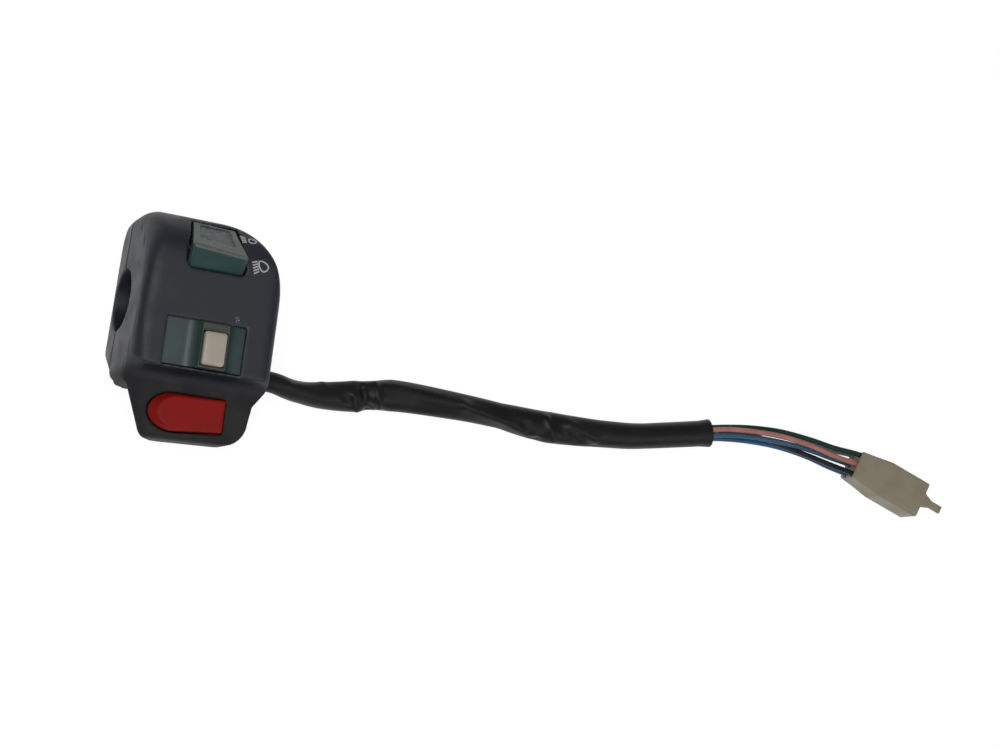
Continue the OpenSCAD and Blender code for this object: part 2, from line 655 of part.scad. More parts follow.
module turn_base() color("#3a3936") difference() {
  union() {
    box([31, lip_y - 5, turn_base_t],
      [slot_c.x, -(lip_y + 5) / 2 + 0.15, turn_base_top - turn_base_t / 2]);
    for (x = turn_fix_x) box([5.6, 5.6, turn_base_t], [x, turn_fix_y, turn_base_top - turn_base_t / 2]);
    for (x = turn_stop_x)
      box([6, 3, turn_base_t], [x - sign(x) * 2.5, -lip_y + 1.8, turn_base_top - turn_base_t / 2]);
  }
  for (x = turn_fix_x) translate([x, turn_fix_y, turn_base_z - past])
    cylinder(d = fix_d + 0.3, h = turn_base_t + 2 * past);
  for (k = [-2:0]) translate([detent_x + k * turn_step, cap_y, turn_base_top + ball_d / 2 - 0.3])
    rotate([90, 0, 0]) cylinder(d = ball_d + 0.2, h = 4, center = true);
  for (k = [-1:1]) translate([slot_c.x + k * turn_pitch, bridge_y, turn_base_z - past])
    cylinder(d = 1.6 + 0.04, h = turn_base_t + 2 * past);
}

module turn_base_screws() color("#8f959b") turn_fix_places() fix_screw(turn_base_t);

module turn_terminals() color("#c9a24b") for (k = [-1:1])
  translate([slot_c.x + k * turn_pitch, bridge_y, turn_base_top]) {
    box([4, 3, strip_t], [0, 0, strip_t / 2]);
    translate([0, 0, -turn_base_t - lug_l]) cylinder(d = 1.6, h = turn_base_t + lug_l + 0.1);
  }

module horn_button() color("#d8352f") union() {
  hull() {
    translate([0, 0, lobe_h + 0.3]) linear_extrude(0.1) polygon(horn_outline(0));
    translate([0, 0, lobe_h + horn_h - 0.1]) linear_extrude(0.1) polygon(horn_top());
  }
  translate([0, 0, flange_top - 0.1]) linear_extrude(lobe_h + 0.45 - flange_top) polygon(horn_outline(0));
  box([22, 13, flange_t], [horn_c.x + horn_right + 1.2 - 11, -36.9, flange_z + flange_t / 2]);
  translate([horn_c.x, horn_c.y, horn_base_top - horn_base_t - 0.4])
    cylinder(d = stem_d, h = flange_z - horn_base_top + horn_base_t + 0.5);
}

module horn_spring() color("#b9bdc1") translate([horn_c.x, horn_c.y, horn_base_top + 0.05])
  coil(horn_spring_r, flange_z - horn_base_top - 0.1, 0.7, 5);

module horn_contact_plate() color("#c9a24b") difference() {
  box([2 * horn_post_x + 4, 9.6, plate_t], [horn_c.x, horn_c.y + 0.6, flange_z - plate_t / 2]);
  translate([horn_c.x, horn_c.y, flange_z - 2]) cylinder(r = horn_spring_r + 0.75, h = 4);
}

module horn_base() color("#3a3936") difference() {
  union() {
    translate([0, 0, horn_base_top - horn_base_t]) linear_extrude(horn_base_t)
      polygon([[-12, -32.1], [-12, -37.4], [-9.4, -42.4], [14.5, -42.4], [14.5, -32.1]]);
    horn_fix_places() translate([0, 0, -horn_base_t]) cylinder(d = fix_boss_d + 0.4, h = horn_base_t);
    box([8.5, 4, horn_base_t], [-9.5, -31.6, horn_base_top - horn_base_t / 2]);
  }
  translate([horn_c.x, horn_c.y, 0]) cylinder(d = stem_d + 2 * play, h = long / 4);
  for (p = horn_fix) translate([p.x, p.y, horn_base_top - horn_base_t - past])
    cylinder(d = fix_d + 0.3, h = horn_base_t + 2 * past);
  horn_post_places() translate([0, 0, -long / 8]) cylinder(d = 2.04, h = long / 4);
}

module horn_post_places() for (side = [-1, 1])
  translate([horn_c.x + side * horn_post_x, horn_c.y, horn_base_top]) children();

module horn_base_screws() color("#8f959b") horn_fix_places() fix_screw(horn_base_t);

module horn_terminals() color("#c9a24b") horn_post_places() {
  cylinder(d = 3, h = flange_z - plate_t - horn_travel - contact_gap - horn_base_top);
  translate([0, 0, -horn_base_t - lug_l]) cylinder(d = 2, h = horn_base_t + lug_l + 0.1);
}

module cable_grommet() color("#1d1d1f") translate([half_l, exit_y, 0]) difference() {
  union() {
    translate([-wall / 2, 0, 0]) bar(grommet_d / 2, wall + 1);
    translate([-wall - grommet_flange_t / 2 - play, 0, 0]) bar(grommet_flange_d / 2, grommet_flange_t);
    translate([grommet_out / 2 + play, 0, 0]) bar(grommet_flange_d / 2, grommet_out);
  }
  bar(sleeve_neck_r - sleeve_wall, long);
}

sleeve_points = smooth(sleeve_route, 3);
sleeve_radii = [for (k = [0:len(sleeve_points) - 1])
  let (s = k / 3, i = floor(s), n = len(sleeve_neck) - 1, f = s - i,
    neck = s >= n ? 1 : sleeve_neck[i] * (1 - f) + sleeve_neck[i + 1] * f)
  sleeve_neck_r + (sleeve_d / 2 - sleeve_neck_r) * neck];
module harness_sleeve() color("#1b1b1d") 
  hollow_tube(sleeve_points, sleeve_radii, sleeve_wall, sleeve_sides);

// Place of the k-th wire in the bundle, and of its hole in the connector, as column and row
wire_angle = [0, 60, 120, 180, 240, 300];
wire_hole = [[1, 1], [0, 1], [0, -1], [-1, -1], [-1, 1], [1, -1]];

// How each wire leaves the bundle between the sleeve and the connector, as Y and Z from the free route
wire_spread = [
  [[2.2, 0.1], [2.5, 0.3], [2.9, 0.6], [3.2, 1.3], [3.5, 2]],
  [[1.1, 1.9], [0.9, 2.2], [0.9, 2.3], [0.7, 2.5], [0.3, 2.5]],
  [[-1, 1.9], [-1.2, 1.7], [-1.3, 1.9], [-0.7, 0.7], [-0.1, -1]],
  [[-2.4, -0.2], [-2.6, -1.3], [-2.7, -2.1], [-2.9, -2.1], [-3.4, -2.4]],
  [[-0.6, -1.2], [-0.3, -0.4], [-2, -0.1], [-2.9, 0.5], [-3.3, 1.8]],
  [[1.4, -2], [1.5, -2.1], [1.6, -2.2], [2.1, -2.3], [3, -2.5]]];
function in_bundle(k) = [0, wire_ring_r * cos(wire_angle[k]), wire_ring_r * sin(wire_angle[k])];
function conn_point(p) = conn_o + [p.x * cos(conn_turn) - p.y * sin(conn_turn),
  p.x * sin(conn_turn) + p.y * cos(conn_turn), p.z];
function hole_point(k, x) =
  conn_point([x, wire_hole[k].x * conn_pitch_y, wire_hole[k].y * conn_pitch_z / 2]);

// Route of the k-th wire: its own inside points, the bundle, the free stretch and its hole
function wire_route(k, inside) = let (o = in_bundle(k), n = len(free_route)) concat(
  inside,
  [for (x = [half_l - 5, half_l - 1]) [x, exit_y, 0] + o],
  [for (p = sleeve_route) p + o],
  [for (i = [0:n - 1]) free_route[i] + [0, wire_spread[k][i].x, wire_spread[k][i].y]],
  [hole_point(k, 0.5), hole_point(k, conn_hole_l - 0.3)]);

turn_lug_z = turn_base_z - lug_l - 0.4;
horn_lug_z = horn_base_top - horn_base_t - lug_l - 0.3;
dip_lug_x = dip_o.x + 13.9;
inside_green = [[slot_c.x - turn_pitch, bridge_y, turn_lug_z],
  [slot_c.x - turn_pitch, bridge_y, turn_lug_z - 2],
  [-2, -17.2, 6.6], [8, -16.4, 3.2]];
inside_light_blue = [[slot_c.x + turn_pitch, bridge_y, turn_lug_z],
  [slot_c.x + turn_pitch, bridge_y, turn_lug_z - 2], [12, -20.4, 6]];
inside_grey = [[slot_c.x, bridge_y, turn_lug_z], [slot_c.x, bridge_y, turn_lug_z - 2],
  [4, -18.6, 3.4], [12, -18.2, -0.6]];
inside_blue = [[dip_lug_x, 19.6, 9.8], [18, 18, 11.4], [19.6, 9, 16.6], [19.6, -2, 17.6],
  [19.6, -14, 15.4], [19.4, -21.6, 11], [18.6, -24.4, 5.6], [19.6, -23.8, 2.6]];
inside_pink = [[dip_lug_x, 10.7, 14.2], [17, 7.6, 16.4], [17.6, 0, 17.4], [17.4, -12, 13.6],
  [16.8, -17.6, 6.6]];
inside_black = [[horn_c.x + horn_post_x, horn_c.y, horn_lug_z], [horn_c.x + horn_post_x + 0.6, -37.6, 1.4],
  [10, -35.4, 0.4], [16, -28, 0.2], [17.8, -24, 0.3], [19, -21.6, -0.9]];

module wire(k, inside) tube(smooth(wire_route(k, inside), 2), wire_d / 2, 8, [0.3, 0.9, 0.2]);
module wire_green() color("#1f4a3a") wire(0, inside_green);
module wire_pink() color("#e09a88") wire(1, inside_pink);
module wire_light_blue() color("#7fa3c4") wire(2, inside_light_blue);
module wire_blue() color("#2a5f9e") wire(3, inside_blue);
module wire_black() color("#1a1a1c") wire(4, inside_black);
module wire_grey() color("#a9a49e") wire(5, inside_grey);

module conn_frame() translate(conn_o) rotate([0, 0, conn_turn]) children();
module conn_sites() for (row = [-1, 1]) for (col = [-1:1])
  translate([0, col * conn_pitch_y, row * conn_pitch_z / 2]) children();
module connector_housing() color("#cfc9b8") conn_frame() difference() {
  union() {
    intersection() {
      translate([0, 0, -conn_h / 2]) linear_extrude(conn_h) polygon([[0, -5.4], [5, -6], [13, -conn_w / 2],
        [conn_l, -conn_w / 2], [conn_l, conn_w / 2], [13, conn_w / 2], [5, 6], [0, 5.4]]);
      along_y(long) polygon([[0, -conn_h / 2], [conn_l, -conn_h / 2], [conn_l, conn_h / 2],
        [13, conn_h / 2], [0, conn_h / 2 - 1.6]]);
    }
    translate([0, 0, conn_h / 2 - tongue_t]) linear_extrude(tongue_t) polygon([[conn_l - 2, -3],
      [conn_l + 1, -2.4], [conn_l + 3, -tongue_w / 2], [conn_l + tongue_l, -tongue_w / 2],
      [conn_l + tongue_l, tongue_w / 2], [conn_l + 3, tongue_w / 2], [conn_l + 1, 2.4], [conn_l - 2, 3]]);
  }
  box([2 * shroud_l, conn_w - 2 * shroud_wall, conn_h - 2 * shroud_wall - 0.2], [conn_l, 0, -0.1]);
  conn_sites() translate([conn_hole_l / 2 - past / 2, 0, 0]) bar(conn_hole_d / 2, conn_hole_l + past);
  conn_sites() box([conn_l, blade_pin_w + 0.04, blade_pin_t + 0.04], [conn_l / 2 + conn_hole_l - 1, 0, 0]);
}

module connector_terminals() color("#c0b28a") conn_frame() conn_sites()
  box([conn_l - conn_hole_l - 9, blade_pin_w, blade_pin_t], [(conn_l + conn_hole_l - 9) / 2, 0, 0]);

front_shell();
rear_shell();
clamp_screws();
clamp_inserts();
dip_rocker();
dip_pivot_pin();
dip_base();
dip_base_screws();
dip_plunger();
dip_plunger_spring();
dip_contact_blade();
dip_terminals();
turn_slider();
turn_cancel_cap();
turn_cap_spring();
turn_carrier();
turn_contact_bridge();
turn_detent_ball();
turn_detent_spring();
turn_base();
turn_base_screws();
turn_terminals();
horn_button();
horn_spring();
horn_contact_plate();
horn_base();
horn_base_screws();
horn_terminals();
cable_grommet();
harness_sleeve();
wire_green();
wire_pink();
wire_light_blue();
wire_blue();
wire_black();
wire_grey();
connector_housing();
connector_terminals();
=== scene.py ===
"""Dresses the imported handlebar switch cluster: shells, rocker, slider, horn button and harness.

Sizes are in millimetres until a mesh is made, and in metres from then on. X runs along the handlebar
towards the cable, Y towards the dip rocker and Z out of the switch face.
"""
import functools
import itertools
import logging
import math
from dataclasses import dataclass
from enum import Enum
from typing import Any, Callable, Sequence

import bpy
import numpy as np
from mathutils import Matrix


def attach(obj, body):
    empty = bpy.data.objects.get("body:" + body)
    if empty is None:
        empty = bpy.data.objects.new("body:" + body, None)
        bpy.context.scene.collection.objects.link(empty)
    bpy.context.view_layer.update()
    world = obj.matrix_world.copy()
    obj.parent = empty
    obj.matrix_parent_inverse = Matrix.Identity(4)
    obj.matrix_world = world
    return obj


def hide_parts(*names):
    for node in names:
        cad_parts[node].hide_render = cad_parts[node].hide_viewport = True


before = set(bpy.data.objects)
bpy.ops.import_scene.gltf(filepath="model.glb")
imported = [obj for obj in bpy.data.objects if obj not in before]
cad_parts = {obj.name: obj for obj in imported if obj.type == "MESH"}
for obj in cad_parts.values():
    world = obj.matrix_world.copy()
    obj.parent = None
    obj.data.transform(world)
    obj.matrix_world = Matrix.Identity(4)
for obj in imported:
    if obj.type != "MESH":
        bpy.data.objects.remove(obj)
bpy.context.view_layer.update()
LOG = logging.getLogger("switch_cluster")
MM = 0.001

Spot = tuple[float, float]
Plane = Sequence[Spot]
Point = tuple[float, float, float]
Room = tuple[Point, Point]
Colour = tuple[float, float, float]
Grid = tuple[np.ndarray, np.ndarray, np.ndarray]
Field = Callable[[Grid], np.ndarray]

# Sizes that several sub-assemblies share, and the least rounding of an edge
GAP = 0.35
LOBE_H = 19.8
SHARP = 1e-6


class Body(str, Enum):
    """CAD bodies that a piece can ride on."""

    HOUSING = "housing"
    ROCKER = "dip_rocker"
    SLIDER = "turn_slider"
    CAP = "turn_cap"
    HORN = "horn_button"


# Shader nodes


class Value:
    """A shader socket that takes part in Python expressions."""

    def __init__(self, nodes: "Nodes", socket: bpy.types.NodeSocket) -> None:
        """Wraps one output socket of a node tree."""
        self.nodes = nodes
        self.socket = socket

    def _math(self, operation: str, left: Any, right: Any) -> "Value":
        """Adds one Math node and returns its output."""
        return self.nodes.add("ShaderNodeMath", {"operation": operation}, {0: left, 1: right})["Value"]

    def __add__(self, other: Any) -> "Value":
        """Sum."""
        return self._math("ADD", self, other)

    def __radd__(self, other: Any) -> "Value":
        """Reflected sum."""
        return self._math("ADD", other, self)

    def __sub__(self, other: Any) -> "Value":
        """Difference."""
        return self._math("SUBTRACT", self, other)

    def __rsub__(self, other: Any) -> "Value":
        """Reflected difference."""
        return self._math("SUBTRACT", other, self)

    def __mul__(self, other: Any) -> "Value":
        """Product."""
        return self._math("MULTIPLY", self, other)

    def __rmul__(self, other: Any) -> "Value":
        """Reflected product."""
        return self._math("MULTIPLY", other, self)

    def either(self, other: Any) -> "Value":
        """Larger of two values."""
        return self._math("MAXIMUM", self, other)

    def between(self, low: float, high: float) -> "Value":
        """Smooth step from 0 at low to 1 at high.

        Args:
            low: Value that gives 0.
            high: Value that gives 1.

        Returns:
            The stepped value.
        """
        return self.nodes.add("ShaderNodeMapRange", {"interpolation_type": "SMOOTHSTEP"},
                              {"Value": self, "From Min": low, "From Max": high})["Result"]


class Made:
    """A node that has just been added, whose outputs are asked for by name."""

    def __init__(self, nodes: "Nodes", node: bpy.types.Node) -> None:
        """Keeps the node and its tree."""
        self.nodes = nodes
        self.node = node

    def __getitem__(self, key: str | int) -> Value:
        """Output socket by identifier, name or place."""
        return Value(self.nodes, find_socket(self.node.outputs, key))


def find_socket(sockets: Any, key: str | int) -> bpy.types.NodeSocket:
    """Finds a socket of a node.

    Args:
        sockets: The node's inputs or outputs.
        key: Identifier, name or place of the socket.

    Returns:
        The socket.
    """
    if isinstance(key, str):
        for socket in sockets:
            if socket.identifier == key:
                return socket
    return sockets[key]


class Nodes:
    """Node tree of a material, of the world or of a repeat."""

    def __init__(self, tree: bpy.types.NodeTree) -> None:
        """Starts from an empty tree."""
        self.tree = tree
        tree.nodes.clear()

    def add(self, kind: str, settings: dict[str, Any] | None = None,
            sockets: dict[str | int, Any] | None = None) -> Made:
        """Adds any node.

        Args:
            kind: Type of the node.
            settings: Properties of the node, set before its sockets.
            sockets: Values or links of its inputs.

        Returns:
            The node.
        """
        node = self.tree.nodes.new(kind)
        for key, value in (settings or {}).items():
            setattr(node, key, value)
        for key, value in (sockets or {}).items():
            socket = find_socket(node.inputs, key)
            if isinstance(value, Value):
                self.tree.links.new(value.socket, socket)
            elif isinstance(value, tuple) and len(value) == 3 and socket.type == "RGBA":
                socket.default_value = (*value, 1.0)
            else:
                socket.default_value = value
        return Made(self, node)

    def place(self) -> Value:
        """Object coordinates, in metres."""
        return self.add("ShaderNodeTexCoord")["Object"]

    def noise(self, per_mm: float, detail: float, at: Value | None = None) -> Value:
        """Noise over the object.

        Args:
            per_mm: Features to one millimetre.
            detail: Octaves.
            at: Coordinates, or the object's own.

        Returns:
            Values around one half.
        """
        return self.add("ShaderNodeTexNoise", {"noise_dimensions": "3D"},
                        {"Vector": at or self.place(), "Scale": per_mm / MM, "Detail": detail})["Fac"]

    def mix(self, share: Any, first: Any, second: Any) -> Value:
        """Colour between two colours."""
        return self.add("ShaderNodeMix", {"data_type": "RGBA"},
                        {"Factor_Float": share, "A_Color": first, "B_Color": second})["Result_Color"]

    def near(self, spot: Point, reach: float) -> Value:
        """Mask round one spot.

        Args:
            spot: Place in millimetres.
            reach: Radius where the mask ends, in millimetres.

        Returns:
            1 on the spot, 0 beyond its reach.
        """
        away = self.add("ShaderNodeVectorMath", {"operation": "DISTANCE"},
                        {0: self.place(), 1: tuple(v * MM for v in spot)})["Value"]
        return away.between(reach * MM, 0.35 * reach * MM)

    def painted(self, name: str) -> Value:
        """Value of a mesh attribute."""
        return self.add("ShaderNodeAttribute", {"attribute_name": name})["Fac"]

    def output(self, shader: Value, world: bool = False) -> None:
        """Ends the tree with a shader."""
        kind = "ShaderNodeOutputWorld" if world else "ShaderNodeOutputMaterial"
        self.add(kind, None, {"Surface": shader})


def new_nodes(name: str) -> tuple[bpy.types.Material, Nodes]:
    """Makes an empty material.

    Args:
        name: Name of the material.

    Returns:
        The material and its nodes.
    """
    material = bpy.data.materials.new(name)
    material.use_nodes = True
    return material, Nodes(material.node_tree)


# Finishes

WHITE: Colour = (1.0, 1.0, 1.0)
# Dark colour of the painted shade on the lobe and scoop below the lip
SHADE_COLOUR: Colour = (0.004, 0.004, 0.005)
# Pale grey of small marks on the shell, each with a slight raised bump
PALE_MARK: Colour = (0.55, 0.55, 0.55)


@dataclass(frozen=True)
class Moulded:
    """Moulded plastic or rubber: clouded colour, fine grain, rubbed edges, dust, painted shade and pale
    marks.

    Grain is in features to a millimetre and depth in millimetres. Painted shade darkens the colour along Y,
    starting at one Y, full at another and covering a share. A pale mark is a spot and its reach.
    """

    name: str
    colour: Colour
    tint: Colour
    rough: tuple[float, float] = (0.35, 0.5)
    grain: float = 1.6
    depth: float = 0.03
    cloud: float = 0.12
    coat: float = 0.0
    gloss: float = 0.5
    glow: float = 0.0
    worn: Colour | None = None
    dust: Colour | None = None
    pale_marks: tuple[tuple[Point, float], ...] = ()
    # Painted shade along Y: where it starts, where it is full, and its share
    painted_shade: tuple[float, float, float] | None = None

    def make(self) -> bpy.types.Material:
        """Builds the material.

        Returns:
            The material.
        """
        material, nodes = new_nodes(self.name)
        cloud = nodes.noise(self.cloud, 5.0)
        colour = nodes.mix(cloud.between(0.35, 0.7), self.colour, self.tint)
        rough = self.rough[0] + (self.rough[1] - self.rough[0]) * cloud.between(0.3, 0.7)
        height = nodes.noise(self.grain, 2.0)
        if self.worn:
            rubbed = nodes.painted("edge") * nodes.noise(0.6, 4.0).between(0.4, 0.62)
            colour = nodes.mix(rubbed, colour, self.worn)
            rough = rough + rubbed * 0.12
        if self.dust:
            specks = nodes.noise(1.1, 6.0).between(0.25, 0.75) * 0.35 + 0.65
            settled = nodes.painted("dust") * specks
            colour = nodes.mix(settled, colour, self.dust)
            rough = rough + settled * 0.3
        # Painted shade: the colour darkens towards the lobe and scoop below the lip, where the step shades
        # them
        if self.painted_shade:
            clear, full, share = self.painted_shade
            across = nodes.add("ShaderNodeSeparateXYZ", None, {"Vector": nodes.place()})["Y"]
            shade_share = across.between(clear * MM, full * MM) * share
            colour = nodes.mix(shade_share, colour, SHADE_COLOUR)
            rough = rough + shade_share * 0.25
        # Pale grey spots with a slight raised bump at the given places
        for spot, reach in self.pale_marks:
            mark = nodes.near(spot, reach) * nodes.noise(2.2, 5.0).between(0.5, 0.6)
            colour = nodes.mix(mark, colour, PALE_MARK)
            height = height + mark * 2.0
        bump = nodes.add("ShaderNodeBump", None,
                         {"Height": height, "Strength": 0.5, "Distance": self.depth * MM})["Normal"]
        shader = nodes.add("ShaderNodeBsdfPrincipled", None, {
            "Base Color": colour, "Roughness": rough, "Normal": bump, "Coat Weight": self.coat,
            "Coat Roughness": 0.12, "Specular IOR Level": self.gloss, "Subsurface Weight": self.glow,
            "Subsurface Scale": 0.002, "Subsurface Radius": (1.0, 0.85, 0.6)})
        nodes.output(shader["BSDF"])
        return material


@dataclass(frozen=True)
class Metal:
    """Bare metal with drawn lines and dull patches."""

    name: str
    colour: Colour
    dull: Colour
    rough: float = 0.3

    def make(self) -> bpy.types.Material:
        """Builds the material.

        Returns:
            The material.
        """
        material, nodes = new_nodes(self.name)
        patch = nodes.noise(0.5, 4.0).between(0.4, 0.7)
        drawn = nodes.add("ShaderNodeMapping", None, {"Vector": nodes.place(), "Scale": (1.0, 1.0, 0.08)})
        lines = nodes.noise(6.0, 2.0, drawn["Vector"])
        bump = nodes.add("ShaderNodeBump", None, {"Height": lines, "Strength": 0.25, "Distance": 0.02 * MM})
        shader = nodes.add("ShaderNodeBsdfPrincipled", None, {
            "Base Color": nodes.mix(patch, self.colour, self.dull), "Metallic": 1.0,
            "Roughness": self.rough + patch * 0.2, "Normal": bump["Normal"]})
        nodes.output(shader["BSDF"])
        return material


Finish = Moulded | Metal


@functools.lru_cache(maxsize=None)
def material_of(finish: Finish) -> bpy.types.Material:
    """Material of a finish, made once."""
    return finish.make()


# The shell's last setting paints shade on the lobe and scoop below the lip, from Y -23 to -29
SHELL_BLACK = Moulded("shell_black", (0.004, 0.006, 0.013), (0.006, 0.008, 0.016), (0.5, 0.62), 1.5, 0.03,
                      worn=(0.055, 0.055, 0.06),
                      pale_marks=(((10.75, -3.7, 26.0), 1.2), ((-21.5, -4.1, 25.9), 1.0)),
                      gloss=0.6, painted_shade=(-23.0, -29.0, 0.9))
ROCKER_TEAL = Moulded("rocker_teal", (0.032, 0.066, 0.066), (0.038, 0.075, 0.073), (0.2, 0.3), 0.8, 0.008,
                      coat=0.1, gloss=0.35, worn=(0.012, 0.015, 0.012), dust=(0.125, 0.139, 0.128))
SLIDER_TEAL = Moulded("slider_teal", (0.03, 0.056, 0.056), (0.036, 0.066, 0.063), (0.42, 0.52), 0.8, 0.012,
                      coat=0.1, dust=(0.06, 0.065, 0.05))
CAP_CREAM = Moulded("cap_cream", (0.44, 0.395, 0.32), (0.41, 0.36, 0.285), (0.3, 0.42), 0.7, 0.012,
                    glow=0.15)
HORN_RED = Moulded("horn_red", (0.26, 0.006, 0.004), (0.23, 0.006, 0.004), (0.42, 0.52), 0.8, 0.015,
                   gloss=0.15)
BASE_DARK = Moulded("base_phenolic", (0.045, 0.04, 0.036), (0.06, 0.05, 0.042), (0.5, 0.65), 2.0, 0.04)
CARRIER_BROWN = Moulded("carrier_phenolic", (0.22, 0.12, 0.06), (0.28, 0.16, 0.08), (0.45, 0.6), 2.0, 0.03)
GROMMET_BLACK = Moulded("grommet_rubber", (0.016, 0.016, 0.018), (0.024, 0.024, 0.025), (0.5, 0.7), 2.2,
                        0.05)
SLEEVE_BLACK = Moulded("sleeve_pvc", (0.006, 0.006, 0.007), (0.01, 0.01, 0.011), (0.38, 0.5), 0.9, 0.03,
                       cloud=0.08, gloss=0.25)
NYLON = Moulded("connector_nylon", (0.32, 0.275, 0.2), (0.28, 0.24, 0.17), (0.32, 0.45), 0.9, 0.02,
                gloss=0.15, glow=0.3)
PRINT_WHITE = Moulded("print_white", (0.5, 0.5, 0.5), (0.4, 0.4, 0.4), (0.5, 0.6), 3.0, 0.01, cloud=1.5)
BRASS = Metal("bare_brass", (0.66, 0.47, 0.19), (0.5, 0.34, 0.13), 0.28)
TINNED = Metal("tinned_brass", (0.62, 0.58, 0.48), (0.5, 0.46, 0.38), 0.26)
STEEL = Metal("plated_steel", (0.55, 0.56, 0.58), (0.42, 0.42, 0.43), 0.3)
SPRING_STEEL = Metal("spring_steel", (0.46, 0.47, 0.49), (0.36, 0.36, 0.37), 0.35)


# Solid shapes as distance fields


def arc(centre: Spot, radius: float | Spot, span: Spot, steps: int) -> list[Spot]:
    """Points on part of a circle or an upright ellipse.

    Args:
        centre: Its centre.
        radius: Its radius, or those across and up.
        span: First and last angle in degrees.
        steps: Stretches between the points.

    Returns:
        The points.
    """
    rx, ry = radius if isinstance(radius, tuple) else (radius, radius)
    angles = np.radians(np.linspace(*span, steps + 1))
    return [(centre[0] + rx * math.cos(a), centre[1] + ry * math.sin(a)) for a in angles]


def polygon(corners: Plane, u: np.ndarray, v: np.ndarray) -> np.ndarray:
    """Distance to a polygon, negative inside.

    Args:
        corners: Corners of the polygon.
        u: Coordinates across.
        v: Coordinates up.

    Returns:
        The distances, in the broadcast shape of u and v.
    """
    nearest = np.full(np.broadcast(u, v).shape, np.inf)
    inside = np.zeros(nearest.shape, bool)
    for (ax, ay), (bx, by) in zip(corners, [*corners[1:], corners[0]]):
        ex, ey = bx - ax, by - ay
        wx, wy = u - ax, v - ay
        along = np.clip((wx * ex + wy * ey) / max(ex * ex + ey * ey, 1e-12), 0, 1)
        nearest = np.minimum(nearest, (wx - ex * along) ** 2 + (wy - ey * along) ** 2)
        if ey:
            inside ^= ((ay > v) != (by > v)) & (u < ex * (v - ay) / ey + ax)
    return np.where(inside, -1, 1) * np.sqrt(nearest)


def rod(u: np.ndarray, v: np.ndarray, radius: float) -> np.ndarray:
    """Distance to an endless round rod."""
    return np.sqrt(u * u + v * v) - radius


def slab(u: np.ndarray, low: float, high: float) -> np.ndarray:
    """Distance to the space between two parallel planes."""
    return np.abs(u - (low + high) / 2) - (high - low) / 2


def both(a: np.ndarray, b: np.ndarray, edge: float) -> np.ndarray:
    """Intersection of two solids with a rounded edge.

    Args:
        a: First field.
        b: Second field.
        edge: Width of the rounding.

    Returns:
        The field of what both hold.
    """
    blend = np.maximum(edge - np.abs(a - b), 0) / edge
    return np.maximum(a, b) + blend * blend * edge / 4


def less(a: np.ndarray, b: np.ndarray, edge: float) -> np.ndarray:
    """First solid without the second, with a rounded edge."""
    return both(a, -b, edge)


def joined(a: np.ndarray, b: np.ndarray, fillet: float) -> np.ndarray:
    """Union of two solids with a fillet."""
    return -both(-a, -b, fillet)


def block(at: Grid, low: Point, high: Point, edge: float) -> np.ndarray:
    """Distance to a block with rounded edges.

    Args:
        at: Coordinates along its three axes.
        low: Lowest corner.
        high: Highest corner.
        edge: Width of the rounding.

    Returns:
        The field of the block.
    """
    first, second, third = (slab(u, a, b) for u, a, b in zip(at, low, high))
    return both(both(first, second, edge), third, edge)


def net(values: np.ndarray, low: np.ndarray, step: float) -> tuple[np.ndarray, np.ndarray]:
    """Surface of a field on a grid, as quads that pass through its cells.

    Args:
        values: Distances on the grid, negative inside.
        low: Lowest corner of the grid.
        step: Grid step.

    Returns:
        Points and quads.
    """
    cells = np.array(values.shape) - 1
    count = np.zeros(cells)
    place = np.zeros((*cells, 3))
    for axis in range(3):
        for pair in itertools.product((0, 1), repeat=2):
            ends = [list(pair), list(pair)]
            ends[0].insert(axis, 0)
            ends[1].insert(axis, 1)
            first, last = (values[tuple(slice(o, o + n) for o, n in zip(end, cells))] for end in ends)
            cut = (first < 0) != (last < 0)
            count += cut
            for k in range(3):
                share = first / np.where(cut, first - last, 1) if k == axis else ends[0][k]
                place[..., k] += np.where(cut, share, 0)
    active = count > 0
    index = np.full(active.shape, -1)
    index[active] = np.arange(active.sum())
    points = low + step * (np.argwhere(active) + place[active] / count[active][:, None])
    quads = []
    inside = values < 0
    for axis in range(3):
        span = [[slice(1, -1)] * 3, [slice(1, -1)] * 3]
        span[0][axis], span[1][axis] = slice(0, -1), slice(1, None)
        first, last = inside[tuple(span[0])], inside[tuple(span[1])]
        at = np.argwhere(first != last)
        leaving = first[tuple(at.T)]
        at += np.array([int(k != axis) for k in range(3)])
        u, w = np.eye(3, dtype=int)[[(axis + 1) % 3, (axis + 2) % 3]]
        quad = np.stack([index[tuple((at - o).T)] for o in (0 * u, u, u + w, w)], 1)
        quads.append(np.where(leaving[:, None], quad, quad[:, ::-1]))
    return points, np.concatenate(quads)


def new_piece(name: str, points: np.ndarray, faces: np.ndarray, smooth: bool = True) -> bpy.types.Object:
    """Makes an object from points in millimetres.

    Args:
        name: Name of the piece.
        points: Its points.
        faces: Its faces.
        smooth: Whether it is shaded smooth.

    Returns:
        The object, at the origin.
    """
    mesh = bpy.data.meshes.new(name)
    mesh.from_pydata((np.asarray(points) * MM).tolist(), [], [list(map(int, f)) for f in faces])
    mesh.validate()
    mesh.polygons.foreach_set("use_smooth", np.full(len(mesh.polygons), smooth))
    piece = bpy.data.objects.new(name, mesh)
    bpy.context.scene.collection.objects.link(piece)
    return piece


def applied(piece: bpy.types.Object) -> bpy.types.Object:
    """Turns a piece's modifiers into its mesh.

    Args:
        piece: The piece.

    Returns:
        The same piece with a plain mesh.
    """
    graph = bpy.context.evaluated_depsgraph_get()
    mesh = bpy.data.meshes.new_from_object(piece.evaluated_get(graph))
    piece.modifiers.clear()
    piece.data = mesh
    mesh.name = piece.name
    return piece


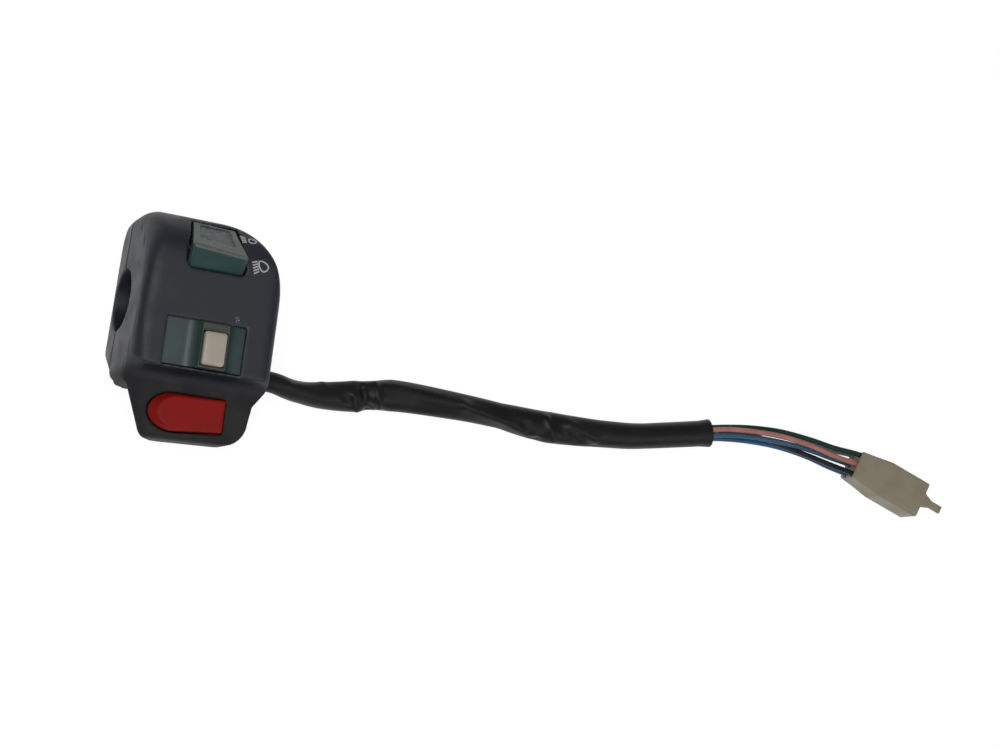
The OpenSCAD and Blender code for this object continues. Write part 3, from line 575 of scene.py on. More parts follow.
def cast(name: str, shape: Field, room: Room, step: float, share: float) -> bpy.types.Object:
    """Casts a field into a piece.

    Args:
        name: Name of the piece.
        shape: Field of the solid.
        room: Lowest and highest corner of the space round it.
        step: Grid step.
        share: Share of the triangles that is kept.

    Returns:
        The piece.
    """
    axes = [np.arange(a, b + step, step) for a, b in zip(*room)]
    grid = tuple(np.meshgrid(*axes, indexing="ij", sparse=True))
    piece = new_piece(name, *net(np.array(shape(grid)), np.array(room[0]), step))
    thin = piece.modifiers.new("thin", "DECIMATE")
    thin.ratio = share
    return applied(piece)


def paint(piece: bpy.types.Object, name: str, values: np.ndarray) -> None:
    """Stores a value for each point of a piece.

    Args:
        piece: The piece.
        name: Name of the attribute.
        values: Values from 0 to 1.
    """
    layer = piece.data.attributes.new(name, "FLOAT", "POINT")
    layer.data.foreach_set("value", np.clip(values, 0, 1).astype(np.float32))


def points_of(piece: bpy.types.Object) -> tuple[np.ndarray, np.ndarray]:
    """Points and normals of a piece.

    Args:
        piece: The piece.

    Returns:
        Points in millimetres, and unit normals.
    """
    mesh = piece.data
    points, normals = np.empty(len(mesh.vertices) * 3), np.empty(len(mesh.vertices) * 3)
    mesh.vertices.foreach_get("co", points)
    mesh.vertices.foreach_get("normal", normals)
    return points.reshape(-1, 3) / MM, normals.reshape(-1, 3)


def paint_edges(piece: bpy.types.Object, sharp: float = 0.16) -> None:
    """Marks the convex edges of a piece for rubbing.

    Args:
        piece: The piece.
        sharp: Slope to the neighbours that counts as an edge.
    """
    points, normals = points_of(piece)
    pairs = np.empty(len(piece.data.edges) * 2, int)
    piece.data.edges.foreach_get("vertices", pairs)
    pairs = pairs.reshape(-1, 2)
    total, count = np.zeros(len(points)), np.zeros(len(points))
    for a, b in (pairs.T, pairs.T[::-1]):
        gap = points[a] - points[b]
        lean = (gap * normals[a]).sum(1) / np.maximum(np.linalg.norm(gap, axis=1), 1e-6)
        np.add.at(total, a, lean)
        np.add.at(count, a, 1)
    paint(piece, "edge", (total / np.maximum(count, 1) - 0.25 * sharp) / sharp)


def settle(piece: bpy.types.Object, body: Body, slot: str, finish: Finish, *nodes: str) -> bpy.types.Object:
    """Gives a finished piece its material and body.

    Args:
        piece: The piece.
        body: Body that it moves with.
        slot: Material slot of the record; not used.
        finish: Its finish.
        nodes: CAD nodes that it stands for.

    Returns:
        The piece.
    """
    piece.data.materials.clear()
    piece.data.materials.append(material_of(finish))
    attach(piece, body.value)
    if nodes:
        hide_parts(*nodes)
    LOG.info("%s rides on %s", piece.name, body.value)
    return piece


class Repeat:
    """Geometry Nodes tree with named sizes that repeats a shape over points."""

    def __init__(self, name: str, sizes: dict[str, float]) -> None:
        """Starts a tree.

        Args:
            name: Name of the tree.
            sizes: Name and value of each input, in metres or radians.
        """
        tree = bpy.data.node_groups.new(name, "GeometryNodeTree")
        tree.interface.new_socket("Points", in_out="INPUT", socket_type="NodeSocketGeometry")
        self.values = {}
        for key, value in sizes.items():
            socket = tree.interface.new_socket(key, in_out="INPUT", socket_type="NodeSocketFloat")
            self.values[socket.identifier] = value
        finish = tree.interface.new_socket("Finish", in_out="INPUT", socket_type="NodeSocketMaterial")
        self.finish_key = finish.identifier
        tree.interface.new_socket("Mesh", in_out="OUTPUT", socket_type="NodeSocketGeometry")
        self.nodes = Nodes(tree)
        self.given = self.nodes.add("NodeGroupInput")

    def block(self, x: Any, y: Any, z: Any, at: Any = 0.0) -> Value:
        """Block of three sizes, lifted along Z."""
        size = self.nodes.add("ShaderNodeCombineXYZ", None, {"X": x, "Y": y, "Z": z})["Vector"]
        return self.lifted(self.nodes.add("GeometryNodeMeshCube", None, {"Size": size})["Mesh"], at)

    def cone(self, low: Any, high: Any, depth: Any, at: Any) -> Value:
        """Cone along Z between two radii, standing at a height."""
        shape = self.nodes.add("GeometryNodeMeshCone", None, {
            "Vertices": 48, "Radius Top": high, "Radius Bottom": low, "Depth": depth})["Mesh"]
        return self.lifted(shape, at)

    def lifted(self, shape: Value, height: Any) -> Value:
        """Shape moved along Z."""
        way = self.nodes.add("ShaderNodeCombineXYZ", None, {"Z": height})["Vector"]
        return self.nodes.add("GeometryNodeTransform", None,
                              {"Geometry": shape, "Translation": way})["Geometry"]

    def cut(self, shape: Value, *tools: Value) -> Value:
        """Cuts tools out of a shape.

        Args:
            shape: The shape.
            tools: What is cut out of it.

        Returns:
            The shape without the tools.
        """
        made = self.nodes.add("GeometryNodeMeshBoolean", {"operation": "DIFFERENCE"}, {"Mesh 1": shape})
        for tool in tools:
            self.nodes.tree.links.new(tool.socket, made.node.inputs["Mesh 2"])
        return made["Mesh"]

    def grown(self, name: str, shape: Value, turn: Value, points: Sequence[Point],
              finish: Finish) -> bpy.types.Object:
        """Ends the tree and grows the shape on points.

        Args:
            name: Name of the piece.
            shape: Shape to repeat.
            turn: Turn about Z, in radians.
            points: Where it stands, in millimetres.
            finish: Its finish.

        Returns:
            The piece with a plain mesh.
        """
        nodes = self.nodes
        spun = nodes.add("FunctionNodeEulerToRotation", None, {
            0: nodes.add("ShaderNodeCombineXYZ", None, {"Z": turn})["Vector"]})["Rotation"]
        set_out = nodes.add("GeometryNodeInstanceOnPoints", None, {
            "Points": self.given["Points"], "Instance": shape, "Rotation": spun})["Instances"]
        real = nodes.add("GeometryNodeRealizeInstances", None, {"Geometry": set_out})["Geometry"]
        dressed = nodes.add("GeometryNodeSetMaterial", None,
                            {"Geometry": real, "Material": self.given["Finish"]})
        nodes.add("NodeGroupOutput", None, {"Mesh": dressed["Geometry"]})
        piece = new_piece(name, np.array(points), np.empty((0, 3), int))
        modifier = piece.modifiers.new("repeat", "NODES")
        modifier.node_group = nodes.tree
        for key, value in self.values.items():
            modifier[key] = value
        modifier[self.finish_key] = material_of(finish)
        return applied(piece)


# Lines


def curve_through(route: Sequence[Point], steps: int) -> np.ndarray:
    """Smooth curve through route points.

    Args:
        route: Points of the route.
        steps: Stretches between two route points.

    Returns:
        Points on the curve.
    """
    pts = np.array(route, float)
    before, after = np.vstack([pts[:1], pts[:-2]]), np.vstack([pts[2:], pts[-1:]])
    out = []
    for p, q, r, s in zip(before, pts[:-1], pts[1:], after):
        for t in np.arange(steps) / steps:
            out.append(0.5 * (2 * q + (r - p) * t + (2 * p - 5 * q + 4 * r - s) * t ** 2
                              + (3 * q - p - 3 * r + s) * t ** 3))
    return np.array([*out, pts[-1]])


def run_of(line: np.ndarray) -> np.ndarray:
    """Way along a line to each of its points."""
    return np.concatenate([[0.0], np.cumsum(np.linalg.norm(np.diff(line, axis=0), axis=1))])


# Studio


def stand(name: str, data: bpy.types.ID, at: Point, axes: Sequence[Sequence[float]]) -> bpy.types.Object:
    """Stands a camera or a lamp in the scene.

    Args:
        name: Its name.
        data: Its camera or lamp data.
        at: Its place in millimetres.
        axes: Its right, up and back directions.

    Returns:
        The object.
    """
    thing = bpy.data.objects.new(name, data)
    turn = Matrix(axes).transposed().to_4x4()
    thing.matrix_world = Matrix.Translation([v * MM for v in at]) @ turn
    bpy.context.scene.collection.objects.link(thing)
    return thing


@dataclass(frozen=True)
class Lamp:
    """Soft square lamp: its place, aim and size in millimetres, and its power in watts."""

    name: str
    at: Point
    aim: Point
    size: float
    power: float

    def hang(self) -> None:
        """Hangs the lamp and turns it to its aim."""
        data = bpy.data.lights.new(self.name, "AREA")
        data.size, data.energy = self.size * MM, self.power
        way = np.subtract(self.at, self.aim)
        back = way / np.linalg.norm(way)
        side = np.cross((0.0, 0.0, 1.0), back)
        side /= np.linalg.norm(side)
        stand(self.name, data, self.at, (side, np.cross(back, side), back))


@dataclass
class Studio:
    """Camera at the photograph's viewing angle, pale floor and soft light."""

    eye: Point = (-170.55, -131.59, 855.17)
    right: Point = (0.93557, 0.12195, 0.33141)
    up: Point = (-0.16116, 0.98250, 0.09341)
    back: Point = (-0.31422, -0.14080, 0.93885)
    lens: float = 90.0
    sensor: float = 36.0
    floor_z: float = -14.05
    floor_size: float = 3000.0
    floor_glow: float = 1.12
    floor_seen: float = 0.82
    sky: float = 0.25
    lamps: tuple[Lamp, ...] = (
        Lamp("key", (-300.0, -100.0, 1200.0), (60.0, 0.0, 0.0), 450.0, 5.8),
        Lamp("fill", (800.0, -700.0, 1000.0), (100.0, 0.0, 0.0), 900.0, 4.0))

    def camera(self) -> None:
        """Places the camera."""
        data = bpy.data.cameras.new("camera")
        data.lens, data.sensor_width, data.sensor_fit = self.lens, self.sensor, "HORIZONTAL"
        data.clip_start, data.clip_end = 0.01, 50.0
        bpy.context.scene.camera = stand("camera", data, self.eye, (self.right, self.up, self.back))

    def floor(self) -> None:
        """Lays the floor, which stays white to the eye and keeps a soft shadow."""
        half = self.floor_size / 2
        corners = [(x * half, y * half, self.floor_z) for x, y in ((-1, -1), (1, -1), (1, 1), (-1, 1))]
        floor = new_piece("floor", np.array(corners), np.array([[0, 1, 2, 3]]), False)
        material, nodes = new_nodes("floor_white")
        rays = nodes.add("ShaderNodeLightPath")
        seen = rays["Is Camera Ray"] * self.floor_seen
        for kind in ("Is Glossy Ray", "Is Transmission Ray"):
            seen = seen.either(rays[kind])
        speck = nodes.noise(0.02, 2.0).between(0.2, 0.8)
        paper = nodes.add("ShaderNodeBsdfDiffuse", None,
                          {"Color": nodes.mix(speck, (0.86, 0.86, 0.86), (0.88, 0.88, 0.88))})
        white = nodes.add("ShaderNodeEmission", None, {"Color": WHITE, "Strength": self.floor_glow})
        nodes.output(nodes.add("ShaderNodeMixShader", None,
                               {0: seen, 1: paper["BSDF"], 2: white["Emission"]})["Shader"])
        floor.data.materials.append(material)

    def lights(self) -> None:
        """Hangs the lamps and sets the world."""
        for lamp in self.lamps:
            lamp.hang()
        world = bpy.data.worlds.new("studio")
        bpy.context.scene.world = world
        world.use_nodes = True
        nodes = Nodes(world.node_tree)
        rays = nodes.add("ShaderNodeLightPath")
        sky = nodes.add("ShaderNodeBackground", None, {"Color": (0.96, 0.98, 1.0), "Strength": self.sky})
        white = nodes.add("ShaderNodeBackground", None, {"Color": WHITE, "Strength": 1.0})
        shader = nodes.add("ShaderNodeMixShader", None,
                           {0: rays["Is Camera Ray"], 1: sky["Background"], 2: white["Background"]})
        nodes.output(shader["Shader"], world=True)
        bpy.context.scene.view_settings.view_transform = "Standard"


# Sub-assemblies


@dataclass
class Shells:
    """Front and rear shell with the bar bore, the windows and the clamp screws.

    The open end, at -X, slants along Y, leans along Z and meets the face in a rounded shoulder.
    """

    # Body and walls
    half_l: float = 25.8
    front_h: float = 26.0
    rear_h: float = 14.0
    wall: float = 2.4
    edge: float = 0.5
    far: float = 50.0

    # Crown, corners and neck
    crown_r: float = 18.0
    crown_y: float = 31.4
    crown_drop: float = 0.9
    crown_span: Spot = (-40.0, 90.0)
    corner_w: float = 24.0
    corner_h: float = 28.5
    cable_end_r: float = 5.0
    top_r: float = 6.0
    bottom_r: float = 4.5
    bottom_y: float = -24.5
    neck_r: float = 3.0
    neck_left: Spot = (0.7, -32.4)
    neck_right: Spot = (1.4, -33.0)
    heel: Spot = (3.0, -25.0)

    # Lip and scoop between the slider and the lobe
    lip_y: float = 22.7
    lip_wall: float = 1.7
    lip_r: float = 1.6
    lip_in: float = 0.7
    scoop_r: float = 4.0
    scoop_out: float = 3.8

    # Lobe round the horn button
    lobe_h: float = LOBE_H
    lobe_y: float = 48.3
    lobe_back: float = 4.0
    lobe_r: float = 9.0
    lobe_left: float = 12.1
    lobe_right: float = 5.1
    lobe_slant: float = 1.4
    lobe_edge: float = 4.0
    lobe_bevel: float = 2.6
    lobe_top: float = -30.0

    # Back, with the Y and the radius of its two roundings
    back_low: Spot = (-15.0, 10.0)
    back_top: Spot = (18.5, 11.0)
    back_end_r: float = 1.2
    back_cable_r: float = 3.0
    corner_way: Spot = (0.766, 0.643)
    corner_at: float = 31.5
    corner_lean: float = 0.313

    # Open end and its shoulder
    end_in: float = 0.2
    end_lean: float = 0.11
    end_skew: float = 0.022
    end_past: float = 0.6
    shoulder_w: float = 6.0
    skin_wall: float = 1.2
    skin_start: float = 3.0
    skin_gap: float = 0.05

    # Bore, windows and cable exit
    bar_r: float = 11.1
    saddle_r: float = 13.1
    dip_gap: float = 0.45
    dip_floor: float = -1.0
    slot_floor: float = 18.0
    horn_floor: float = 16.4
    exit_y: float = -19.6
    exit_r: float = 4.15
    exit_deep: float = 5.0

    # Clamp bosses and screw wells
    clamp_at: tuple[Spot, ...] = ((-19.4, 20.6), (-14.2, -18.9))
    boss_r: float = 4.2
    boss_top: float = 11.0
    insert_r: float = 3.0
    insert_top: float = 9.4
    well_r: float = 4.0
    well_wall: float = 1.2
    screw_seat: float = -6.0
    screw_hole_r: float = 2.2

    # Casting
    room_y: Spot = (-49.0, 32.5)
    margin: float = 1.0
    step: float = 0.5

    def end_x(self, y: Any) -> Any:
        """Place of the slanting open end at a given Y."""
        return -self.half_l + self.end_in + self.end_skew * y

    def inward(self, at: Grid) -> np.ndarray:
        """Way in from the leaning open end."""
        return at[0] - self.end_x(at[1]) - self.end_lean * at[2]

    def outline(self) -> Plane:
        """Outline of both shells on the switch face.

        Returns:
            The polygon, from the cable end over the crown and the open end to the lobe.
        """
        h, r, low = self.half_l, self.neck_r, -self.lobe_y
        top = self.crown_y - self.top_r
        bottom = (self.end_x(self.bottom_y) + self.bottom_r, self.bottom_y)
        corner = (h - self.corner_w, self.crown_y - self.crown_drop - self.corner_h)
        lobe = (h - self.lobe_right - self.lobe_r, low + self.lobe_slant + self.lobe_r)
        return [*arc(corner, (self.corner_w, self.corner_h), (0, 90), 40),
                *arc((self.end_x(top) + self.top_r, top), self.top_r, (90, 180), 16),
                *arc(bottom, self.bottom_r, (180, 236), 10),
                *arc((-h + self.neck_left[0], self.neck_left[1]), r, (56, 22), 6),
                *arc((-h + self.lobe_left, low + r), r, (202, 273), 10),
                *arc(lobe, self.lobe_r, (273, 360), 20),
                *arc((h - self.neck_right[0], self.neck_right[1]), r, (180, 157), 5),
                *arc((h - self.heel[0], self.heel[1]), r, (-23, 0), 5)]

    def front_side(self) -> Plane:
        """Side view of the front shell.

        Returns:
            The polygon with the crown, face, lip, scoop and lobe, Y across and Z up.
        """
        crown = (self.crown_y - self.crown_r, self.front_h - self.crown_r)
        scoop = (-self.lip_y - self.lip_wall - self.scoop_out, self.lobe_h + self.scoop_r)
        edge = (-self.lobe_y + self.lobe_edge, self.lobe_h - self.lobe_edge)
        return [*arc(crown, self.crown_r, self.crown_span, 60),
                *arc((-self.lip_y + self.lip_in, self.front_h - self.lip_r), self.lip_r, (90, 160), 8),
                *arc(scoop, self.scoop_r, (-20, -90), 14),
                *arc(edge, self.lobe_edge, (90, 180), 12), (-self.lobe_y, -self.far)]

    def front_inside(self) -> Plane:
        """Side view of the front shell's inside.

        Returns:
            The polygon, Y across and Z up.
        """
        top, low, end = self.front_h - self.wall, self.lobe_h - self.wall, -self.lobe_y + self.wall
        crown = (self.crown_y - self.crown_r, self.front_h - self.crown_r)
        return [*arc(crown, self.crown_r - self.wall, self.crown_span, 40), (-self.lip_y, top),
                (-self.lip_y, low), (end, low), (end, -self.far)]

    def rear_side(self, inset: float) -> Plane:
        """Side view of the rear shell.

        Args:
            inset: How far it is drawn in.

        Returns:
            The polygon, Y across and Z up.
        """
        (low_y, low_r), (top_y, top_r), lobe = self.back_low, self.back_top, -self.lobe_back + inset
        return [(-self.far, self.margin), (-self.far, lobe), (low_y - low_r + inset, lobe),
                *arc((low_y, low_r - self.rear_h), low_r - inset, (180, 270), 16),
                *arc((top_y, top_r - self.rear_h), top_r - inset, (270, 360), 16),
                (top_y + top_r - inset, self.margin)]

    def ends(self, height: float, left: float, right: float) -> Plane:
        """Plan of the shells with both ends rounded.

        Args:
            height: Height of the face, negative for the back.
            left: Radius of the rounding at the open end.
            right: Radius of the rounding at the cable end.

        Returns:
            The polygon, X across and Z up.
        """
        side = math.copysign(1, height)
        h, open_end = self.half_l, -self.half_l - self.end_past
        return [(h, -side * self.far),
                *arc((h - right, height - side * right), (right, side * right), (0, 90), 16),
                *arc((open_end + left, height - side * left), (left, side * left), (90, 180), 16),
                (open_end, -side * self.far)]

    def end_edge(self) -> Plane:
        """Edge of the open end face, where the shoulder starts.

        Returns:
            The polygon, Y across and Z up.
        """
        c, h = self.crown_y, self.front_h
        return [(c - 2.4, -self.far), (c - 3.4, 0), (c - 4.4, h - 20.1), (c - 8.5, h - 13.8),
                (c - 15.4, h - 7.1), (c - 20.1, h - 5.1), (5.3, h - 4.1), (-7.7, h - 3.9), (-13, h - 4.9),
                (-17.8, h - 6.4), (-23.4, h - 9.6), (-29, h - 12.8), (-34, h - 16), (-60, h - 34),
                (-60, -self.far)]

    def lobe(self, at: Grid) -> np.ndarray:
        """Lobe's bevelled outline, and all that lies above it.

        Args:
            at: Coordinates along X, Y and Z.

        Returns:
            The field.
        """
        x, y, z = at
        h, low = self.half_l, -self.lobe_y
        levels = (-self.lobe_back, self.lobe_h - self.lobe_bevel, self.lobe_h)
        left = np.interp(z, levels, (6.0, 0.0, self.lobe_bevel))
        rise = np.interp(z, levels, (1.8, 0.0, 0.6))
        plan = [(-h - 10.5, -10), (-h + 3.4, -31.3), (-h + 9.3, -46), (-h + 10.8, low + 0.5),
                (-h + 12.6, low), (14, low + self.lobe_slant), (h + 20, low + 2.2), (h + 20, -10)]
        return joined(self.lobe_top - y, polygon(plan, x - left, y - rise), 1.0)

    def front_skin(self, at: Grid) -> np.ndarray:
        """Front shell as if it were solid.

        Args:
            at: Coordinates along X, Y and Z.

        Returns:
            The field.
        """
        x, y, z = at
        inward = self.inward(at)
        share = np.clip(inward / self.shoulder_w, 0.0, 1.0)
        raised = np.sqrt(1 - (1 - share) ** 2)
        side = (1 - raised) * polygon(self.end_edge(), y, z) + raised * polygon(self.front_side(), y, z)
        face = both(both(polygon(self.outline(), x, y), side, 0.9), self.lobe(at), 1.4)
        ends = polygon(self.ends(self.front_h, 0.1, self.cable_end_r), x, z)
        return both(both(face, -inward, self.edge), ends, 1.2)

    def rear_skin(self, at: Grid) -> np.ndarray:
        """Rear shell as if it were solid, with its slanting back corner.

        Args:
            at: Coordinates along X, Y and Z.

        Returns:
            The field.
        """
        x, y, z = at
        ends = polygon(self.ends(-self.rear_h, self.back_end_r, self.back_cable_r), x, z)
        sides = both(polygon(self.outline(), x, y), polygon(self.rear_side(0), y, z), 0.9)
        skin = both(sides, both(ends, self.lobe(at), 1.0), 1.2)
        corner = (-self.corner_way[0] * x - self.corner_way[1] * y - self.corner_at
                  - self.corner_lean * (z + self.rear_h))
        return both(skin, corner, 0.8)

    def filled(self, shell: np.ndarray, skin: np.ndarray, solid: np.ndarray) -> np.ndarray:
        """Shell with a solid added inside its skin."""
        return np.minimum(shell, np.maximum(skin + self.skin_gap, solid))

    def bored(self, shell: np.ndarray, at: Grid) -> np.ndarray:
        """Shell with the bar's bore and the cable's exit cut.

        Args:
            shell: Field of the shell.
            at: Coordinates along X, Y and Z.

        Returns:
            The field.
        """
        x, y, z = at
        cable = np.maximum(rod(y - self.exit_y, z, self.exit_r), self.half_l - self.exit_deep - x)
        return less(less(shell, rod(y, z, self.bar_r), self.edge), cable, 0.4)

    def windows(self, shell: np.ndarray, at: Grid) -> np.ndarray:
        """Front shell with the openings of its three switches cut.

        Args:
            shell: Field of the shell.
            at: Coordinates along X, Y and Z.

        Returns:
            The field.
        """
        x, y, z = at
        shell = less(shell, np.maximum(Turn().slot(at), self.slot_floor - z), self.edge)
        shell = less(shell, np.maximum(polygon(Horn().outline(GAP), x, y), self.horn_floor - z), self.edge)
        across, along, out = Dip().local(at, 0.0)
        window = polygon(Dip().plan(), across, along) - self.dip_gap
        return less(shell, both(window, self.dip_floor - out, 0.3), 0.4)

    def front(self, at: Grid) -> np.ndarray:
        """Front shell with its inside, bosses and openings.

        Args:
            at: Coordinates along X, Y and Z.

        Returns:
            The field.
        """
        x, y, z = at
        skin = self.front_skin(at)
        room = np.maximum(polygon(self.outline(), x, y) + self.wall, polygon(self.front_inside(), y, z))
        hollow = np.maximum(room, np.maximum(skin + self.skin_wall, self.skin_start - self.inward(at)))
        shell = self.filled(np.maximum(skin, -hollow), skin, rod(y, z, self.saddle_r))
        for px, py in self.clamp_at:
            away = rod(x - px, y - py, 0.0)
            shell = self.filled(shell, skin, np.maximum(away - self.boss_r, z - self.boss_top))
            shell = less(shell, np.maximum(away - self.insert_r, z - self.insert_top), 0.3)
        return both(self.windows(self.bored(shell, at), at), -z, self.edge)

    def rear(self, at: Grid) -> np.ndarray:
        """Rear shell with its inside, screw wells and openings.

        Args:
            at: Coordinates along X, Y and Z.

        Returns:
            The field.
        """
        x, y, z = at
        skin = self.rear_skin(at)
        inside = polygon(self.rear_side(self.wall), y, z)
        room = np.maximum(polygon(self.outline(), x, y) + self.wall, inside)
        hollow = np.maximum(room, skin + self.wall)
        shell = self.filled(np.maximum(skin, -hollow), skin, rod(y, z, self.saddle_r))
        for px, py in self.clamp_at:
            away = rod(x - px, y - py, 0.0)
            shell = self.filled(shell, skin, away - self.well_r - self.well_wall)
            shell = less(shell, np.maximum(away - self.well_r, z - self.screw_seat), self.edge)
            shell = less(shell, away - self.screw_hole_r, 0.3)
        return both(self.bored(shell, at), z, self.edge)

    def build(self) -> None:
        """Casts both shells and drives the clamp screws."""
        h, past = self.half_l + self.margin, self.margin
        for name, shape, low, high in (("front_shell", self.front, -past, self.front_h + past),
                                       ("rear_shell", self.rear, -self.rear_h - past, past)):
            room = (-h, self.room_y[0], low), (h, self.room_y[1], high)
            piece = cast(f"{name}_skin", shape, room, self.step, 0.5)
            paint_edges(piece)
            settle(piece, Body.HOUSING, "shell_plastic", SHELL_BLACK, name)
        self.drive_screws()

    def drive_screws(self) -> None:
        """Grows the two clamp screws, each turned its own way."""
        tree = Repeat("clamp_screws", {
            "Head Radius": 3.7 * MM, "Head Edge": 0.8 * MM, "Head Height": 2.6 * MM,
            "Shank Radius": 2.0 * MM, "Shank Length": 13.7 * MM,
            "Recess Length": 4.0 * MM, "Recess Width": 0.9 * MM, "Recess Depth": 1.2 * MM})
        given, seat, overlap = tree.given, self.screw_seat * MM, 0.01 * MM
        head, edge, tall = (given[f"Head {size}"] for size in ("Radius", "Edge", "Height"))
        rim = tree.cone(head, head, tall - edge, seat - tall + edge)
        dome = tree.cone(head - edge, head, edge + overlap, seat - tall)
        long, wide, depth = given["Recess Length"], given["Recess Width"], given["Recess Depth"] * 2.0
        slots = [tree.block(*sides, depth, seat - tall) for sides in ((long, wide), (wide, long))]
        shank = given["Shank Radius"]
        stem = tree.cone(shank, shank, given["Shank Length"], seat - 0.2 * MM)
        screw = tree.nodes.add("GeometryNodeJoinGeometry")
        for part in (stem, *(tree.cut(body, *slots) for body in (rim, dome))):
            tree.nodes.tree.links.new(part.socket, screw.node.inputs["Geometry"])
        turn = tree.nodes.add("FunctionNodeRandomValue", {"data_type": "FLOAT"}, {
            "Min_001": 0.0, "Max_001": math.pi / 2, "Seed": 5})["Value_001"]
        places = [(*at, 0.0) for at in self.clamp_at]
        piece = tree.grown("clamp_screw_pair", screw["Geometry"], turn, places, STEEL)
        settle(piece, Body.HOUSING, "steel", STEEL, "clamp_screws")


@dataclass
class Signs:
    """High and low beam signs printed on the crown, drawn as strokes."""

    centre: Spot = (13.4, 8.0)
    radius: float = 18.0
    width: float = 0.5
    lift: float = 0.06
    sunk: float = 0.2
    spacing: float = 0.15

    def strokes(self) -> list[Plane]:
        """Strokes on the unrolled crown.

        Returns:
            Lines of X and the way down from the face. A lamp ends where it starts.
        """
        low = [(15.5, 4.15), (15.65, 2.6), (16.3, 1.4), (17.1, 0.75), (17.9, 0.85), (18.6, 1.4),
               (19.0, 2.4), (18.6, 3.3), (17.5, 4.05), (16.5, 4.35), (15.5, 4.15)]
        high = [(11.7, 13.0), (11.7, 12.2), (12.0, 11.35), (13.3, 11.1), (14.1, 11.6), (14.4, 12.2),
                (13.9, 12.7), (13.0, 12.95), (11.7, 13.0)]
        rays = [(((14.95, 4.0), (15.9, 0.6)), ((13.1, 3.3), (14.2, -0.5)), 5),
                (((10.5, 13.3), (10.9, 11.1)), ((8.6, 13.6), (9.4, 10.8)), 4)]
        lines = [[tuple(np.add(a, np.multiply(np.subtract(b, a), t))) for a, b in (near, far)]
                 for near, far, count in rays for t in np.linspace(0, 1, count)]
        return [low, high, *lines]

    def on_crown(self, x: np.ndarray, run: np.ndarray) -> tuple[np.ndarray, np.ndarray]:
        """Points and normals on the crown.

        Args:
            x: Coordinates along X.
            run: Way down from the top of the crown.

        Returns:
            Points and unit normals.
        """
        a = np.maximum(run, 0) / self.radius
        y = self.centre[0] + self.radius * np.sin(a) + np.minimum(run, 0)
        return (np.stack([x, y, self.centre[1] + self.radius * np.cos(a)], -1),
                np.stack([0 * a, np.sin(a), np.cos(a)], -1))

    def bar(self, stroke: Plane) -> tuple[np.ndarray, np.ndarray]:
        """One stroke as a thin raised bar.

        Args:
            stroke: Line on the unrolled crown.

        Returns:
            Its points, four to a station, and its quads.
        """
        line = np.array(stroke)
        if len(line) > 2:
            line = curve_through([(*p, 0.0) for p in line], 4)[:, :2]
        run = run_of(line)
        at = np.linspace(0, run[-1], max(int(run[-1] / self.spacing), 6))
        centre, out = self.on_crown(np.interp(at, run, line[:, 0]), np.interp(at, run, line[:, 1]))
        side = np.cross(out, np.gradient(centre, axis=0))
        side *= self.width / 2 / np.linalg.norm(side, axis=1)[:, None]
        top, foot = centre + self.lift * out, centre - self.sunk * out
        points = np.stack([top + side, top - side, foot - side, foot + side], 1).reshape(-1, 3)
        k = 4 * np.arange(len(at) - 1)[:, None]
        walls = [np.hstack([k + b, k + a, k + a + 4, k + b + 4])
                 for a, b in ((0, 1), (1, 2), (2, 3), (3, 0))]
        return points, np.vstack([*walls, [[0, 1, 2, 3]], k[-1] + 4 + np.array([[3, 2, 1, 0]])])

    def build(self) -> None:
        """Prints both signs."""
        points, faces = np.empty((0, 3)), np.empty((0, 4), int)
        for stroke in self.strokes():
            more, quads = self.bar(stroke)
            faces = np.vstack([faces, quads + len(points)])
            points = np.vstack([points, more])
        piece = new_piece("beam_signs", points, faces, False)
        settle(piece, Body.HOUSING, "shell_plastic", PRINT_WHITE)


